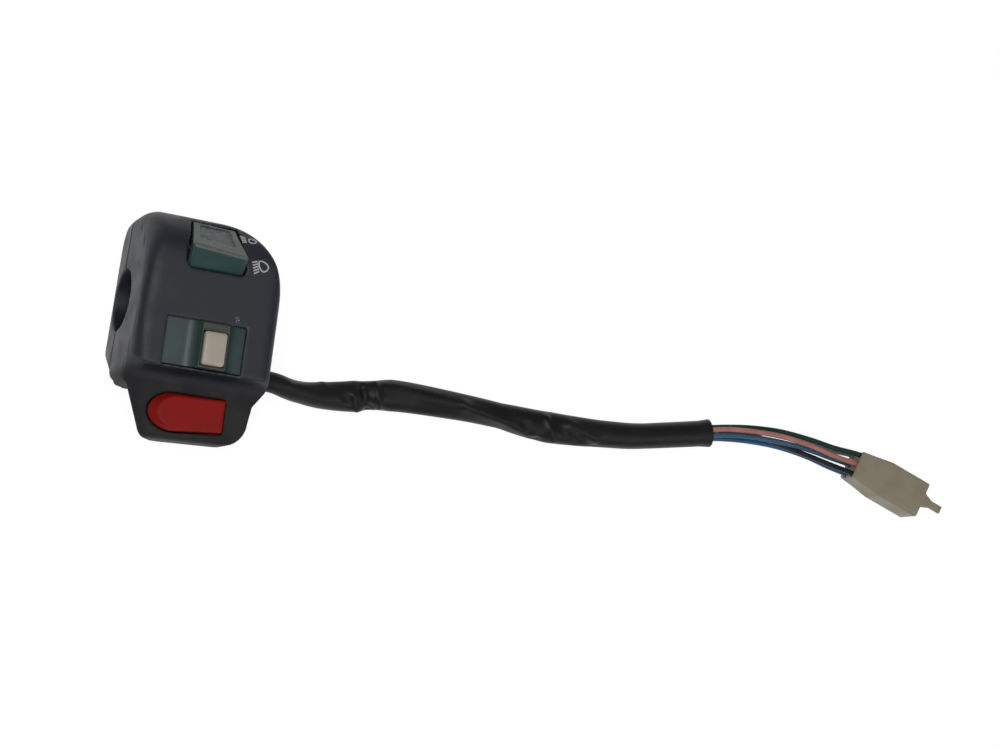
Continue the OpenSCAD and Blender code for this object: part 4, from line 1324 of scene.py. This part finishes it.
@dataclass
class Dip:
    """Dip switch rocker on its tilted frame."""

    pivot: Point = (1.1, 19.0, 19.5)
    tilt: float = 27.0
    swing: float = 20.0
    width: float = 20.2
    skew_left: float = 1.3
    skew_right: float = 3.6
    foot_low: float = -9.1
    foot_left_r: float = 2.6
    foot_right_r: float = 1.7
    foot_high: float = 9.2
    face_high: float = 8.2
    face_rise: float = 6.3
    face_fall: Spot = (0.059, 0.205)
    skirt: float = 0.4
    rim: float = 1.5
    pad_depth: float = 0.5
    pad_dust: float = 0.05
    bore_r: float = 1.3
    collar_r: float = 2.25
    collar_span: Spot = (-5.2, -2.0)
    plunger_span: Spot = (-6.0, -1.9)
    room: Room = ((-10.5, 5.5, 11.0), (12.5, 31.0, 32.0))
    step: float = 0.22

    def local(self, at: Grid, turned: float) -> Grid:
        """Coordinates in the rocker's frame.

        Args:
            at: Coordinates along X, Y and Z.
            turned: Turn of the rocker from its middle position, in degrees.

        Returns:
            Coordinates across, along the crown and out of it.
        """
        a = math.radians(self.tilt - turned)
        dx, dy, dz = (v - p for v, p in zip(at, self.pivot))
        return dx, dy * math.cos(a) - dz * math.sin(a), dy * math.sin(a) + dz * math.cos(a)

    def plan(self) -> Plane:
        """Foot of the rocker in plan.

        Returns:
            The polygon, across and along the crown.
        """
        half, left, right = self.width / 2, self.foot_left_r, self.foot_right_r
        return [*arc((-half + left, self.foot_low + left), left, (180, 270), 10),
                *arc((half - right, self.foot_low + right), right, (270, 360), 8),
                (half - self.skew_right, self.foot_high), (-half + self.skew_left, self.foot_high)]

    def face(self) -> Plane:
        """Slanting face of the rocker in plan."""
        half, high = self.width / 2, self.face_high
        return [*arc((-half + 1.9, -4.7), 1.6, (180, 263), 8), *arc((half - 1.5, -7.2), 1.4, (277, 360), 8),
                (half - self.skew_right + 0.1, high), (-half + self.skew_left + 0.2, high)]

    def foot(self) -> Plane:
        """Side view of the rocker under its face, along the crown and out of it."""
        return [(-8.6, -1.4), (-9.1, 0.0), (-9.1, 20.0), (8.9, 20.0), (8.9, -0.4), (4.0, -2.8), (-4.0, -2.8)]

    def pad(self) -> Plane:
        """Sunk finger pad in plan."""
        return [(-7.3, -1.6), (5.6, -2.6), (4.1, 6.7), (-6.2, 6.7)]

    def rocker(self, at: Grid) -> np.ndarray:
        """Rocker at rest.

        Args:
            at: Coordinates along X, Y and Z.

        Returns:
            The field.
        """
        across, along, out = self.local(at, -self.swing / 2)
        level = self.face_rise - self.face_fall[0] * across - self.face_fall[1] * along
        share = np.clip((out - self.skirt) / np.maximum(level - self.skirt, 1.0), 0.0, 1.1)
        sides = ((1 - share) * polygon(self.plan(), across, along)
                 + share * polygon(self.face(), across, along))
        over = (out - level) / math.hypot(1.0, *self.face_fall)
        solid = both(both(sides, over, self.rim), polygon(self.foot(), along, out), 0.5)
        solid = less(solid, np.maximum(polygon(self.pad(), across, along), -self.pad_depth - over), 0.5)
        collar = np.maximum(rod(across, along, self.collar_r), slab(out, *self.collar_span))
        plunger = np.maximum(rod(across, along, self.bore_r), slab(out, *self.plunger_span))
        solid = less(np.minimum(solid, collar), plunger, 0.2)
        return less(solid, rod(along, out, self.bore_r), 0.2)

    def build(self) -> None:
        """Casts the rocker, lets dust settle on its upper face and keeps the pad dark."""
        piece = cast("dip_rocker_cap", self.rocker, self.room, self.step, 0.6)
        points, normals = points_of(piece)
        a = math.radians(self.tilt + self.swing / 2)
        facing = normals[:, 1] * math.sin(a) + normals[:, 2] * math.cos(a)
        across, along, _ = self.local(tuple(points.T), -self.swing / 2)
        pad = polygon(self.pad(), across, along) < 0.1
        paint(piece, "dust", np.clip((facing - 0.4) / 0.35, 0, 1) * np.where(pad, self.pad_dust, 1.0))
        paint(piece, "edge", np.where(pad, facing, 0.0))
        settle(piece, Body.ROCKER, "rocker_plastic", ROCKER_TEAL, "dip_rocker")


@dataclass
class Turn:
    """Turn signal slider with its ridge, and the cancel cap in it."""

    x: float = 3.75
    slot_x: Spot = (-13.0, 14.5)
    slot_y: float = -14.4
    slot_h: float = 16.6
    tab: float = 0.9
    cap_y: float = -15.4
    cap_w: float = 7.9
    cap_l: float = 11.6
    cap_top: float = 29.4
    cap_crown: Spot = (0.012, 0.004)
    flange_low: float = 20.4
    flange_top: float = 21.6
    flange: float = 0.5
    well_gap: float = 0.2
    flange_gap: float = 0.7
    ridge_top: float = 27.5
    ridge_w: float = 11.0
    ridge_wall: float = 0.75
    ridge_fillet: float = 4.5
    shutter_low: float = 21.7
    shutter_top: float = 23.3
    shutter_half: float = 17.45
    carriage: Spot = (9.5, 6.95)
    carriage_low: float = 17.7
    detent_x: float = 7.2
    detent_r: float = 1.35
    detent_top: float = 21.1
    dust_low: float = 25.6
    dust_rise: float = 1.6
    slider_room: Room = ((-14.6, -23.2, 17.0), (21.7, -4.4, 28.2))
    cap_room: Room = ((-1.6, -22.6, 19.8), (8.7, -8.2, 30.2))

    def slot(self, at: Grid) -> np.ndarray:
        """Field of the slot that the slider shows through."""
        return np.maximum(slab(at[0], *self.slot_x),
                          slab(at[1], self.slot_y - self.slot_h / 2, self.slot_y + self.slot_h / 2))

    def local(self, at: Grid) -> Grid:
        """Coordinates from the middle of the cap."""
        return at[0] - self.x, at[1] - self.cap_y, at[2]

    def around_cap(self, u: np.ndarray, v: np.ndarray, gap: float, edge: float) -> np.ndarray:
        """Field of the cap's plan.

        Args:
            u: Coordinates along X from its middle.
            v: Coordinates along Y from its middle.
            gap: How far it is grown.
            edge: Width of the rounding at its corners.

        Returns:
            The field.
        """
        half_w, half_l = self.cap_w / 2 + gap, self.cap_l / 2 + gap
        return both(slab(u, -half_w, half_w), slab(v, -half_l, half_l), edge)

    def slider(self, at: Grid) -> np.ndarray:
        """Slider with its shutter, ridge and carriage.

        Args:
            at: Coordinates along X, Y and Z.

        Returns:
            The field.
        """
        u, v, z = self.local(at)
        y = at[1]
        half_x, half_y = self.carriage
        low, high = self.slot_y - self.slot_h / 2 + GAP, self.slot_y + self.slot_h / 2 - GAP
        shutter = block((u, y, z), (-self.shutter_half, low, self.shutter_low),
                        (self.shutter_half, high + self.tab, self.shutter_top), 0.3)
        top = self.cap_w / 2 + self.ridge_wall
        flank = [(-self.ridge_w / 2, self.shutter_low), (self.ridge_w / 2, self.shutter_low),
                 (top, self.ridge_top), (-top, self.ridge_top)]
        ridge = both(polygon(flank, u, z), slab(y, low, high), 0.8)
        carriage = block((u, v, z), (-half_x, -half_y, self.carriage_low),
                         (half_x, half_y, self.shutter_low + 0.2), 0.4)
        solid = np.minimum(joined(shutter, ridge, self.ridge_fillet), carriage)
        solid = both(solid, slab(y, low, high + self.tab), 0.3)
        solid = less(solid, self.around_cap(u, v, self.well_gap, SHARP), 0.4)
        flange = self.around_cap(u, v, self.flange_gap, SHARP)
        solid = less(solid, np.maximum(flange, z - self.shutter_low), 0.2)
        detent = np.maximum(rod(u - self.detent_x, v, self.detent_r), z - self.detent_top)
        return less(solid, detent, 0.2)

    def cap(self, at: Grid) -> np.ndarray:
        """Cancel cap, crowned a little, with its flange.

        Args:
            at: Coordinates along X, Y and Z.

        Returns:
            The field.
        """
        u, v, z = self.local(at)
        crowned = z + self.cap_crown[0] * u * u + self.cap_crown[1] * v * v
        post = both(self.around_cap(u, v, 0.0, 1.1), slab(crowned, self.flange_low, self.cap_top), 1.0)
        flange = self.around_cap(u, v, self.flange, 0.2)
        return np.minimum(post, both(flange, slab(z, self.flange_low, self.flange_top), 0.2))

    def build(self) -> None:
        """Casts the slider and the cap."""
        slider = cast("turn_slider_ridge", self.slider, self.slider_room, 0.25, 0.5)
        points, normals = points_of(slider)
        high = np.clip((points[:, 2] - self.dust_low) / self.dust_rise, 0, 1)
        paint(slider, "dust", high * np.clip(normals[:, 2] * 1.4, 0, 1))
        settle(slider, Body.SLIDER, "slider_plastic", SLIDER_TEAL, "turn_slider")
        cap = cast("turn_cancel_button", self.cap, self.cap_room, 0.2, 0.6)
        settle(cap, Body.CAP, "cap_plastic", CAP_CREAM, "turn_cancel_cap")


@dataclass
class Horn:
    """Horn button with a bullet end and a raised plateau."""

    right: float = 11.6
    length: float = 26.0
    low: float = -42.7
    high: float = -31.4
    mid: float = -38.0
    nose: Spot = (9.0, 6.5)
    lobe_h: float = LOBE_H
    height: float = 3.0
    sunk: float = 2.8
    step_up: float = 0.4
    flange: Room = ((-9.2, -43.4, 15.2), (12.8, -30.4, 17.1))
    stem: Spot = (-1.2, -38.0)
    stem_r: float = 2.5
    stem_span: Spot = (4.6, 15.6)
    room: Room = ((-15.4, -46.0, 4.0), (13.6, -29.6, 23.6))
    step: float = 0.25

    def outline(self, grow: float) -> Plane:
        """Button on the lobe's face, grown."""
        (wide, tall), end = self.nose, self.right + grow
        return [(end, self.low - grow), (end, self.high + grow),
                *arc((self.right - self.length + wide, self.mid), (wide + grow, tall + grow), (90, 270), 40)]

    def plateau(self) -> Plane:
        """Raised face of the button."""
        end = self.right - 0.2
        return [(end, self.low + 0.1), (end, self.high - 0.3),
                *arc((self.right - self.length + 10.4, self.mid - 0.3), (7.2, 6.0), (90, 250), 30)]

    def button(self, at: Grid) -> np.ndarray:
        """Button with its flange and stem.

        Args:
            at: Coordinates along X, Y and Z.

        Returns:
            The field.
        """
        x, y, z = at
        foot, top = self.lobe_h + self.step_up, self.lobe_h + self.height
        rise = np.clip((z - foot) / (top - foot), 0, 1.3)
        sides = (1 - rise) * polygon(self.outline(0), x, y) + rise * polygon(self.plateau(), x, y)
        solid = both(sides, slab(z, self.lobe_h - self.sunk, top), 0.9)
        post = np.maximum(rod(x - self.stem[0], y - self.stem[1], self.stem_r), slab(z, *self.stem_span))
        return np.minimum(np.minimum(solid, block(at, *self.flange, 0.3)), post)

    def build(self) -> None:
        """Casts the button."""
        piece = cast("horn_push_button", self.button, self.room, self.step, 0.5)
        settle(piece, Body.HORN, "horn_plastic", HORN_RED, "horn_button")


@dataclass
class Connector:
    """Natural nylon connector with its blades."""

    origin: Point = (264.5, -13.1, -7.5)
    turn: float = -19.5
    length: float = 31.0
    width: float = 14.4
    height: float = 13.0
    flare: float = 13.0
    pitch_y: float = 4.0
    pitch_z: float = 5.2
    tongue: float = 8.0
    tongue_half: float = 1.5
    tongue_t: float = 1.6
    shroud: float = 15.0
    shroud_wall: float = 1.5
    shroud_roof: float = 1.7
    hole_r: float = 1.25
    hole_deep: float = 8.0
    blade_l: float = 14.0
    blade_w: float = 2.8
    blade_t: float = 0.8
    blade_at: float = 15.0
    room: Room = ((261.5, -36.0, -14.6), (306.0, -3.5, 0.0))
    step: float = 0.28

    def local(self, at: Grid) -> Grid:
        """Coordinates in the connector's frame.

        Args:
            at: Coordinates along X, Y and Z.

        Returns:
            Coordinates along, across and up the connector.
        """
        a = math.radians(self.turn)
        dx, dy, dz = (v - o for v, o in zip(at, self.origin))
        return dx * math.cos(a) + dy * math.sin(a), dy * math.cos(a) - dx * math.sin(a), dz

    def world(self, along: float, across: float, up: float) -> Point:
        """Place of a point of the connector."""
        a = math.radians(self.turn)
        return (self.origin[0] + along * math.cos(a) - across * math.sin(a),
                self.origin[1] + along * math.sin(a) + across * math.cos(a), self.origin[2] + up)

    def cavities(self) -> list[Spot]:
        """Middles of the six cavities, across and up."""
        return [(column * self.pitch_y, row * self.pitch_z / 2)
                for row, column in itertools.product((-1, 1), (-1, 0, 1))]

    def housing(self, at: Grid) -> np.ndarray:
        """Housing with its latch tongue, shroud and wire holes.

        Args:
            at: Coordinates along X, Y and Z.

        Returns:
            The field.
        """
        u, v, w = self.local(at)
        half_w, half_h, end, flare = self.width / 2, self.height / 2, self.length, self.flare
        plan = [(0, -5.4), (5, -6), (flare, -half_w), (end, -half_w),
                (end, half_w), (flare, half_w), (5, 6), (0, 5.4)]
        side = [(0, -half_h), (end, -half_h), (end, half_h), (flare, half_h), (0, half_h - 1.6)]
        solid = both(polygon(plan, u, v), polygon(side, u, w), 1.5)
        tip, half = end + self.tongue, self.tongue_half
        tongue = [(end - 2, -3), (end + 1, -2.4), (end + 3, -half), (tip, -half),
                  (tip, half), (end + 3, half), (end + 1, 2.4), (end - 2, 3)]
        latch = both(polygon(tongue, u, v), slab(w, half_h - self.tongue_t, half_h), 0.6)
        solid = joined(solid, latch, 0.8)
        inner_w, floor = half_w - self.shroud_wall, -half_h + self.shroud_wall
        inside = block((u, v, w), (end - self.shroud, -inner_w, floor),
                       (end + self.shroud, inner_w, half_h - self.shroud_roof), 0.5)
        solid = less(solid, inside, 0.5)
        for across, up in self.cavities():
            hole = np.maximum(rod(v - across, w - up, self.hole_r), u - self.hole_deep)
            solid = less(solid, hole, 0.3)
        return solid

    def build(self) -> list[bpy.types.Object]:
        """Casts the housing and seats its blades.

        Returns:
            The housing and the blades.
        """
        piece = cast("connector_body", self.housing, self.room, self.step, 0.5)
        settle(piece, Body.HOUSING, "connector_nylon", NYLON, "connector_housing")
        return [piece, self.seat_blades()]

    def seat_blades(self) -> bpy.types.Object:
        """Grows the six blades in their two rows.

        Returns:
            The blades, as one piece.
        """
        tree = Repeat("connector_blades", {
            "Blade Length": self.blade_l * MM, "Blade Width": self.blade_w * MM,
            "Blade Thickness": self.blade_t * MM, "Turn": math.radians(self.turn)})
        given = tree.given
        blade = tree.block(given["Blade Length"], given["Blade Width"], given["Blade Thickness"])
        places = [self.world(self.blade_at, *cavity) for cavity in self.cavities()]
        piece = tree.grown("connector_blades", blade, given["Turn"], places, TINNED)
        return settle(piece, Body.HOUSING, "brass", TINNED, "connector_terminals")


@dataclass(frozen=True)
class Wire:
    """One wire with its colour and its way from a terminal to the connector.

    It has an angle in the bundle, the column and row of its hole, a route inside the shells, and offsets
    along Y and Z from the free route.
    """

    name: str
    colour: Colour
    angle: float
    hole: tuple[int, int]
    inside: tuple[Point, ...]
    spread: Plane

    def finish(self) -> Moulded:
        """Finish of its insulation."""
        tint = tuple(min(1.0, 1.25 * c + 0.004) for c in self.colour)
        return Moulded(f"insulation_{self.name}", self.colour, tint, (0.3, 0.42), 0.6, 0.01, gloss=0.25)


WIRES = (
    Wire("green", (0.006, 0.03, 0.024), 0, (1, 1),
         ((-6.25, -19, 10.85), (-6.25, -19, 8.85), (-2, -17.2, 6.6), (8, -16.4, 3.2)),
         ((2.2, 0.1), (2.5, 0.3), (2.9, 0.6), (3.2, 1.3), (3.5, 2))),
    Wire("pink", (0.4, 0.17, 0.14), 60, (0, 1),
         ((15, 10.7, 14.2), (17, 7.6, 16.4), (17.6, 0, 17.4), (17.4, -12, 13.6), (16.8, -17.6, 6.6)),
         ((1.1, 1.9), (0.9, 2.2), (0.9, 2.3), (0.7, 2.5), (0.3, 2.5))),
    Wire("light_blue", (0.035, 0.09, 0.15), 120, (0, -1),
         ((7.75, -19, 10.85), (7.75, -19, 8.85), (12, -20.4, 6)),
         ((-1, 1.9), (-1.2, 1.7), (-1.3, 1.9), (-0.7, 0.7), (-0.1, -1))),
    Wire("blue", (0.02, 0.08, 0.2), 180, (-1, -1),
         ((15, 19.6, 9.8), (18, 18, 11.4), (19.6, 9, 16.6), (19.6, -2, 17.6), (19.6, -14, 15.4),
          (19.4, -21.6, 11), (18.6, -24.4, 5.6), (19.6, -23.8, 2.6)),
         ((-2.4, -0.2), (-2.6, -1.3), (-2.7, -2.1), (-2.9, -2.1), (-3.4, -2.4))),
    Wire("black", (0.012, 0.012, 0.014), 240, (-1, 1),
         ((5.8, -38, 2.7), (6.4, -37.6, 1.4), (10, -35.4, 0.4), (16, -28, 0.2), (17.8, -24, 0.3),
          (19, -21.6, -0.9)),
         ((-0.6, -1.2), (-0.3, -0.4), (-2, -0.1), (-2.9, 0.5), (-3.3, 1.8))),
    Wire("grey", (0.22, 0.19, 0.17), 300, (1, -1),
         ((0.75, -19, 10.85), (0.75, -19, 8.85), (4, -18.6, 3.4), (12, -18.2, -0.6)),
         ((1.4, -2), (1.5, -2.1), (1.6, -2.2), (2.1, -2.3), (3, -2.5))))


@dataclass
class Harness:
    """Creased sleeve and the wires that run through it to the connector."""

    exit: Point = (26.8, -19.6, 0.0)
    grommet_x: Spot = (20.8, 24.8)
    plugged: Spot = (0.5, 7.7)
    wire_d: float = 2.0
    ring_r: float = 2.12
    sleeve_d: float = 9.8
    wall: float = 0.5
    inner_crease: float = 0.6
    floor_z: float = -13.95
    around: int = 72
    stations: int = 440
    sleeve_route: tuple[Point, ...] = (
        (27.3, -19.6, 0), (33, -19.9, -0.5), (40, -21, -2.8), (48, -21, -5.6), (56, -20.2, -7.8),
        (65, -18.8, -8.7), (74, -16.8, -9), (82, -16, -9), (96, -16, -9), (110, -16.4, -9),
        (124, -17.3, -9), (137, -18.2, -9), (150, -18, -9), (162, -17.3, -9), (174, -16.2, -9),
        (188, -13.6, -9), (204, -10.4, -9))
    free_route: tuple[Point, ...] = (
        (212, -9, -9.4), (222, -8, -9.9), (234, -8, -10), (246, -9.6, -9.4), (256, -11.8, -8.4))
    half_widths: Plane = (
        (27, 3.7), (39, 3.8), (44, 4.0), (49, 4.5), (54, 4.9), (62, 5.4), (66, 5.6), (72, 5.3), (78, 5.8),
        (90, 5.5), (106, 5.0), (120, 4.8), (132, 5.5), (140, 5.8), (150, 5.5), (160, 5.1), (178, 4.8),
        (200, 4.9), (204, 5.3))
    half_heights: Plane = (
        (27, 3.6), (34, 3.8), (46, 4.5), (60, 4.6), (75, 4.5), (100, 4.7), (130, 4.5), (150, 4.7),
        (204, 4.9))

    def wire_line(self, plug: Connector, wire: Wire) -> np.ndarray:
        """Centreline of one wire.

        Args:
            plug: Connector at its far end.
            wire: The wire.

        Returns:
            Points on the wire.
        """
        a = math.radians(wire.angle)
        shift = np.array((0.0, self.ring_r * math.cos(a), self.ring_r * math.sin(a)))
        through = [np.add((x, self.exit[1], 0.0), shift) for x in self.grommet_x]
        sleeve = [np.add(p, shift) for p in self.sleeve_route]
        free = [np.add(p, (0.0, *o)) for p, o in zip(self.free_route, wire.spread)]
        column, row = wire.hole
        ends = [plug.world(along, column * plug.pitch_y, row * plug.pitch_z / 2) for along in self.plugged]
        return curve_through([*wire.inside, *through, *sleeve, *free, *ends], 5)

    def lay_wires(self, plug: Connector) -> None:
        """Lays the wires from their terminals to the connector.

        Args:
            plug: Connector at their far end.
        """
        for wire in WIRES:
            line = self.wire_line(plug, wire) * MM
            data = bpy.data.curves.new(f"lead_{wire.name}", "CURVE")
            data.dimensions, data.bevel_depth, data.bevel_resolution = "3D", self.wire_d / 2 * MM, 4
            data.use_fill_caps = True
            spline = data.splines.new("POLY")
            spline.points.add(len(line) - 1)
            spline.points.foreach_set("co", np.hstack([line, np.ones((len(line), 1))]).ravel())
            spline.use_smooth = True
            lead = bpy.data.objects.new(f"lead_{wire.name}", data)
            bpy.context.scene.collection.objects.link(lead)
            settle(lead, Body.HOUSING, f"wire_{wire.name}", wire.finish(), f"wire_{wire.name}")

    def skins(self, line: np.ndarray) -> np.ndarray:
        """Outer and inner skin of the sleeve, flattened, creased and resting on the floor.

        Args:
            line: Centreline of the sleeve.

        Returns:
            Points by skin, station and angle.
        """
        run = run_of(line)
        stations = np.linspace(0, run[-1], self.stations)
        centre = np.stack([np.interp(stations, run, line[:, k]) for k in range(3)], 1)
        ahead = np.gradient(centre, axis=0)
        ahead /= np.linalg.norm(ahead, axis=1)[:, None]
        side = np.cross((0.0, 0.0, 1.0), ahead)
        side /= np.linalg.norm(side, axis=1)[:, None]
        lift = np.cross(ahead, side)
        half_w, half_h = (np.interp(centre[:, 0], *zip(*sizes))[:, None]
                          for sizes in (self.half_widths, self.half_heights))
        angle = np.linspace(0, 2 * math.pi, self.around, endpoint=False)
        crease = self.creases(stations, np.degrees(angle))
        rings = []
        for inset, share in ((0.0, 1.0), (self.wall, self.inner_crease)):
            grow = share * crease - inset
            wide, tall = (half_w + grow) * np.cos(angle), (half_h + grow) * np.sin(angle)
            ring = centre[:, None] + wide[..., None] * side[:, None] + tall[..., None] * lift[:, None]
            ring[..., 2] = np.maximum(ring[..., 2], self.floor_z + inset)
            rings.append(ring)
        return np.array(rings)

    def lay_sleeve(self) -> None:
        """Lays the sleeve as a tube with two skins and open ends."""
        line = curve_through(self.sleeve_route, 24)
        skins = self.skins(line)
        index = np.arange(skins.size // 3).reshape(skins.shape[:3])
        after = np.roll(index, -1, axis=2)
        outer, inner = (np.stack([index[k, :-1], after[k, :-1], after[k, 1:], index[k, 1:]], -1)
                        for k in (0, 1))
        start, end = (np.stack([index[0, k], index[1, k], after[1, k], after[0, k]], -1) for k in (0, -1))
        quads = [outer, inner[..., ::-1], start, end[..., [0, 3, 2, 1]]]
        piece = new_piece("sleeve_tube", skins.reshape(-1, 3), np.vstack([q.reshape(-1, 4) for q in quads]))
        settle(piece, Body.HOUSING, "sleeve_pvc", SLEEVE_BLACK, "harness_sleeve")

    def creases(self, stations: np.ndarray, degrees: np.ndarray) -> np.ndarray:
        """Ridges and dents of the sleeve.

        Args:
            stations: Lengths along the sleeve.
            degrees: Angles round it, 0 towards the rocker side and 90 upwards.

        Returns:
            Growth of the radius at each station and angle.
        """
        # Station and angle at both ends of a fold, its height and its width
        folds = (
            (10, 80, 24, 34, 0.5, 2.2), (26, 32, 38, 20, 0.4, 2.4), (34, 100, 45, 150, -0.7, 1.8),
            (41, 60, 43, 175, -1.5, 1.5), (46, 40, 47, 150, 0.9, 1.4), (37, 90, 39, 160, 0.6, 1.2),
            (50, 60, 80, 88, 0.7, 2.0), (80, 88, 108, 140, 0.9, 1.8), (62, 120, 96, 160, -0.5, 3.0),
            (104, 110, 110, 165, -0.8, 1.6), (112, 60, 116, 150, 0.6, 1.4), (118, 90, 124, 150, -0.6, 1.6),
            (122, 70, 132, 120, 0.5, 1.6), (126, 120, 132, 165, -0.5, 1.4))
        degree_mm = 0.0855
        s, a = stations[:, None], degrees[None, :]
        total = np.zeros((len(stations), len(degrees)))
        for s0, a0, s1, a1, high, wide in folds:
            ds, da = s1 - s0, a1 - a0
            along = np.clip(((s - s0) * ds + (a - a0) * da * degree_mm ** 2) /
                            (ds ** 2 + da ** 2 * degree_mm ** 2), 0, 1)
            away = np.hypot(s - s0 - along * ds, (a - a0 - along * da) * degree_mm)
            total += high * np.exp(-(away / wide) ** 2)
        return total


# Inner pieces that keep their CAD shape

INNER: dict[Finish, tuple[str, ...]] = {
    BRASS: ("clamp_inserts", "dip_plunger", "dip_contact_blade", "dip_terminals", "turn_contact_bridge",
            "turn_terminals", "horn_contact_plate", "horn_terminals"),
    STEEL: ("dip_pivot_pin", "dip_base_screws", "turn_detent_ball", "turn_base_screws", "horn_base_screws"),
    SPRING_STEEL: ("dip_plunger_spring", "turn_cap_spring", "turn_detent_spring", "horn_spring"),
    BASE_DARK: ("dip_base", "turn_base", "horn_base"),
    CARRIER_BROWN: ("turn_carrier",),
    GROMMET_BLACK: ("cable_grommet",)}


def dress_inner() -> None:
    """Gives the CAD pieces that stay their finishes."""
    for finish, names in INNER.items():
        for name in names:
            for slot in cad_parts[name].material_slots:
                slot.material = material_of(finish)
            LOG.info("%s keeps its CAD shape", name)


def main() -> None:
    """Builds the scene in order."""
    logging.basicConfig(level=logging.INFO)
    studio = Studio()
    studio.camera()
    plug = Connector()
    pieces = plug.build()
    harness = Harness()
    harness.lay_sleeve()
    harness.lay_wires(plug)
    for assembly in (Shells(), Signs(), Dip(), Turn(), Horn()):
        assembly.build()
    dress_inner()
    studio.floor()
    studio.lights()


if __name__ == "__main__":
    main()
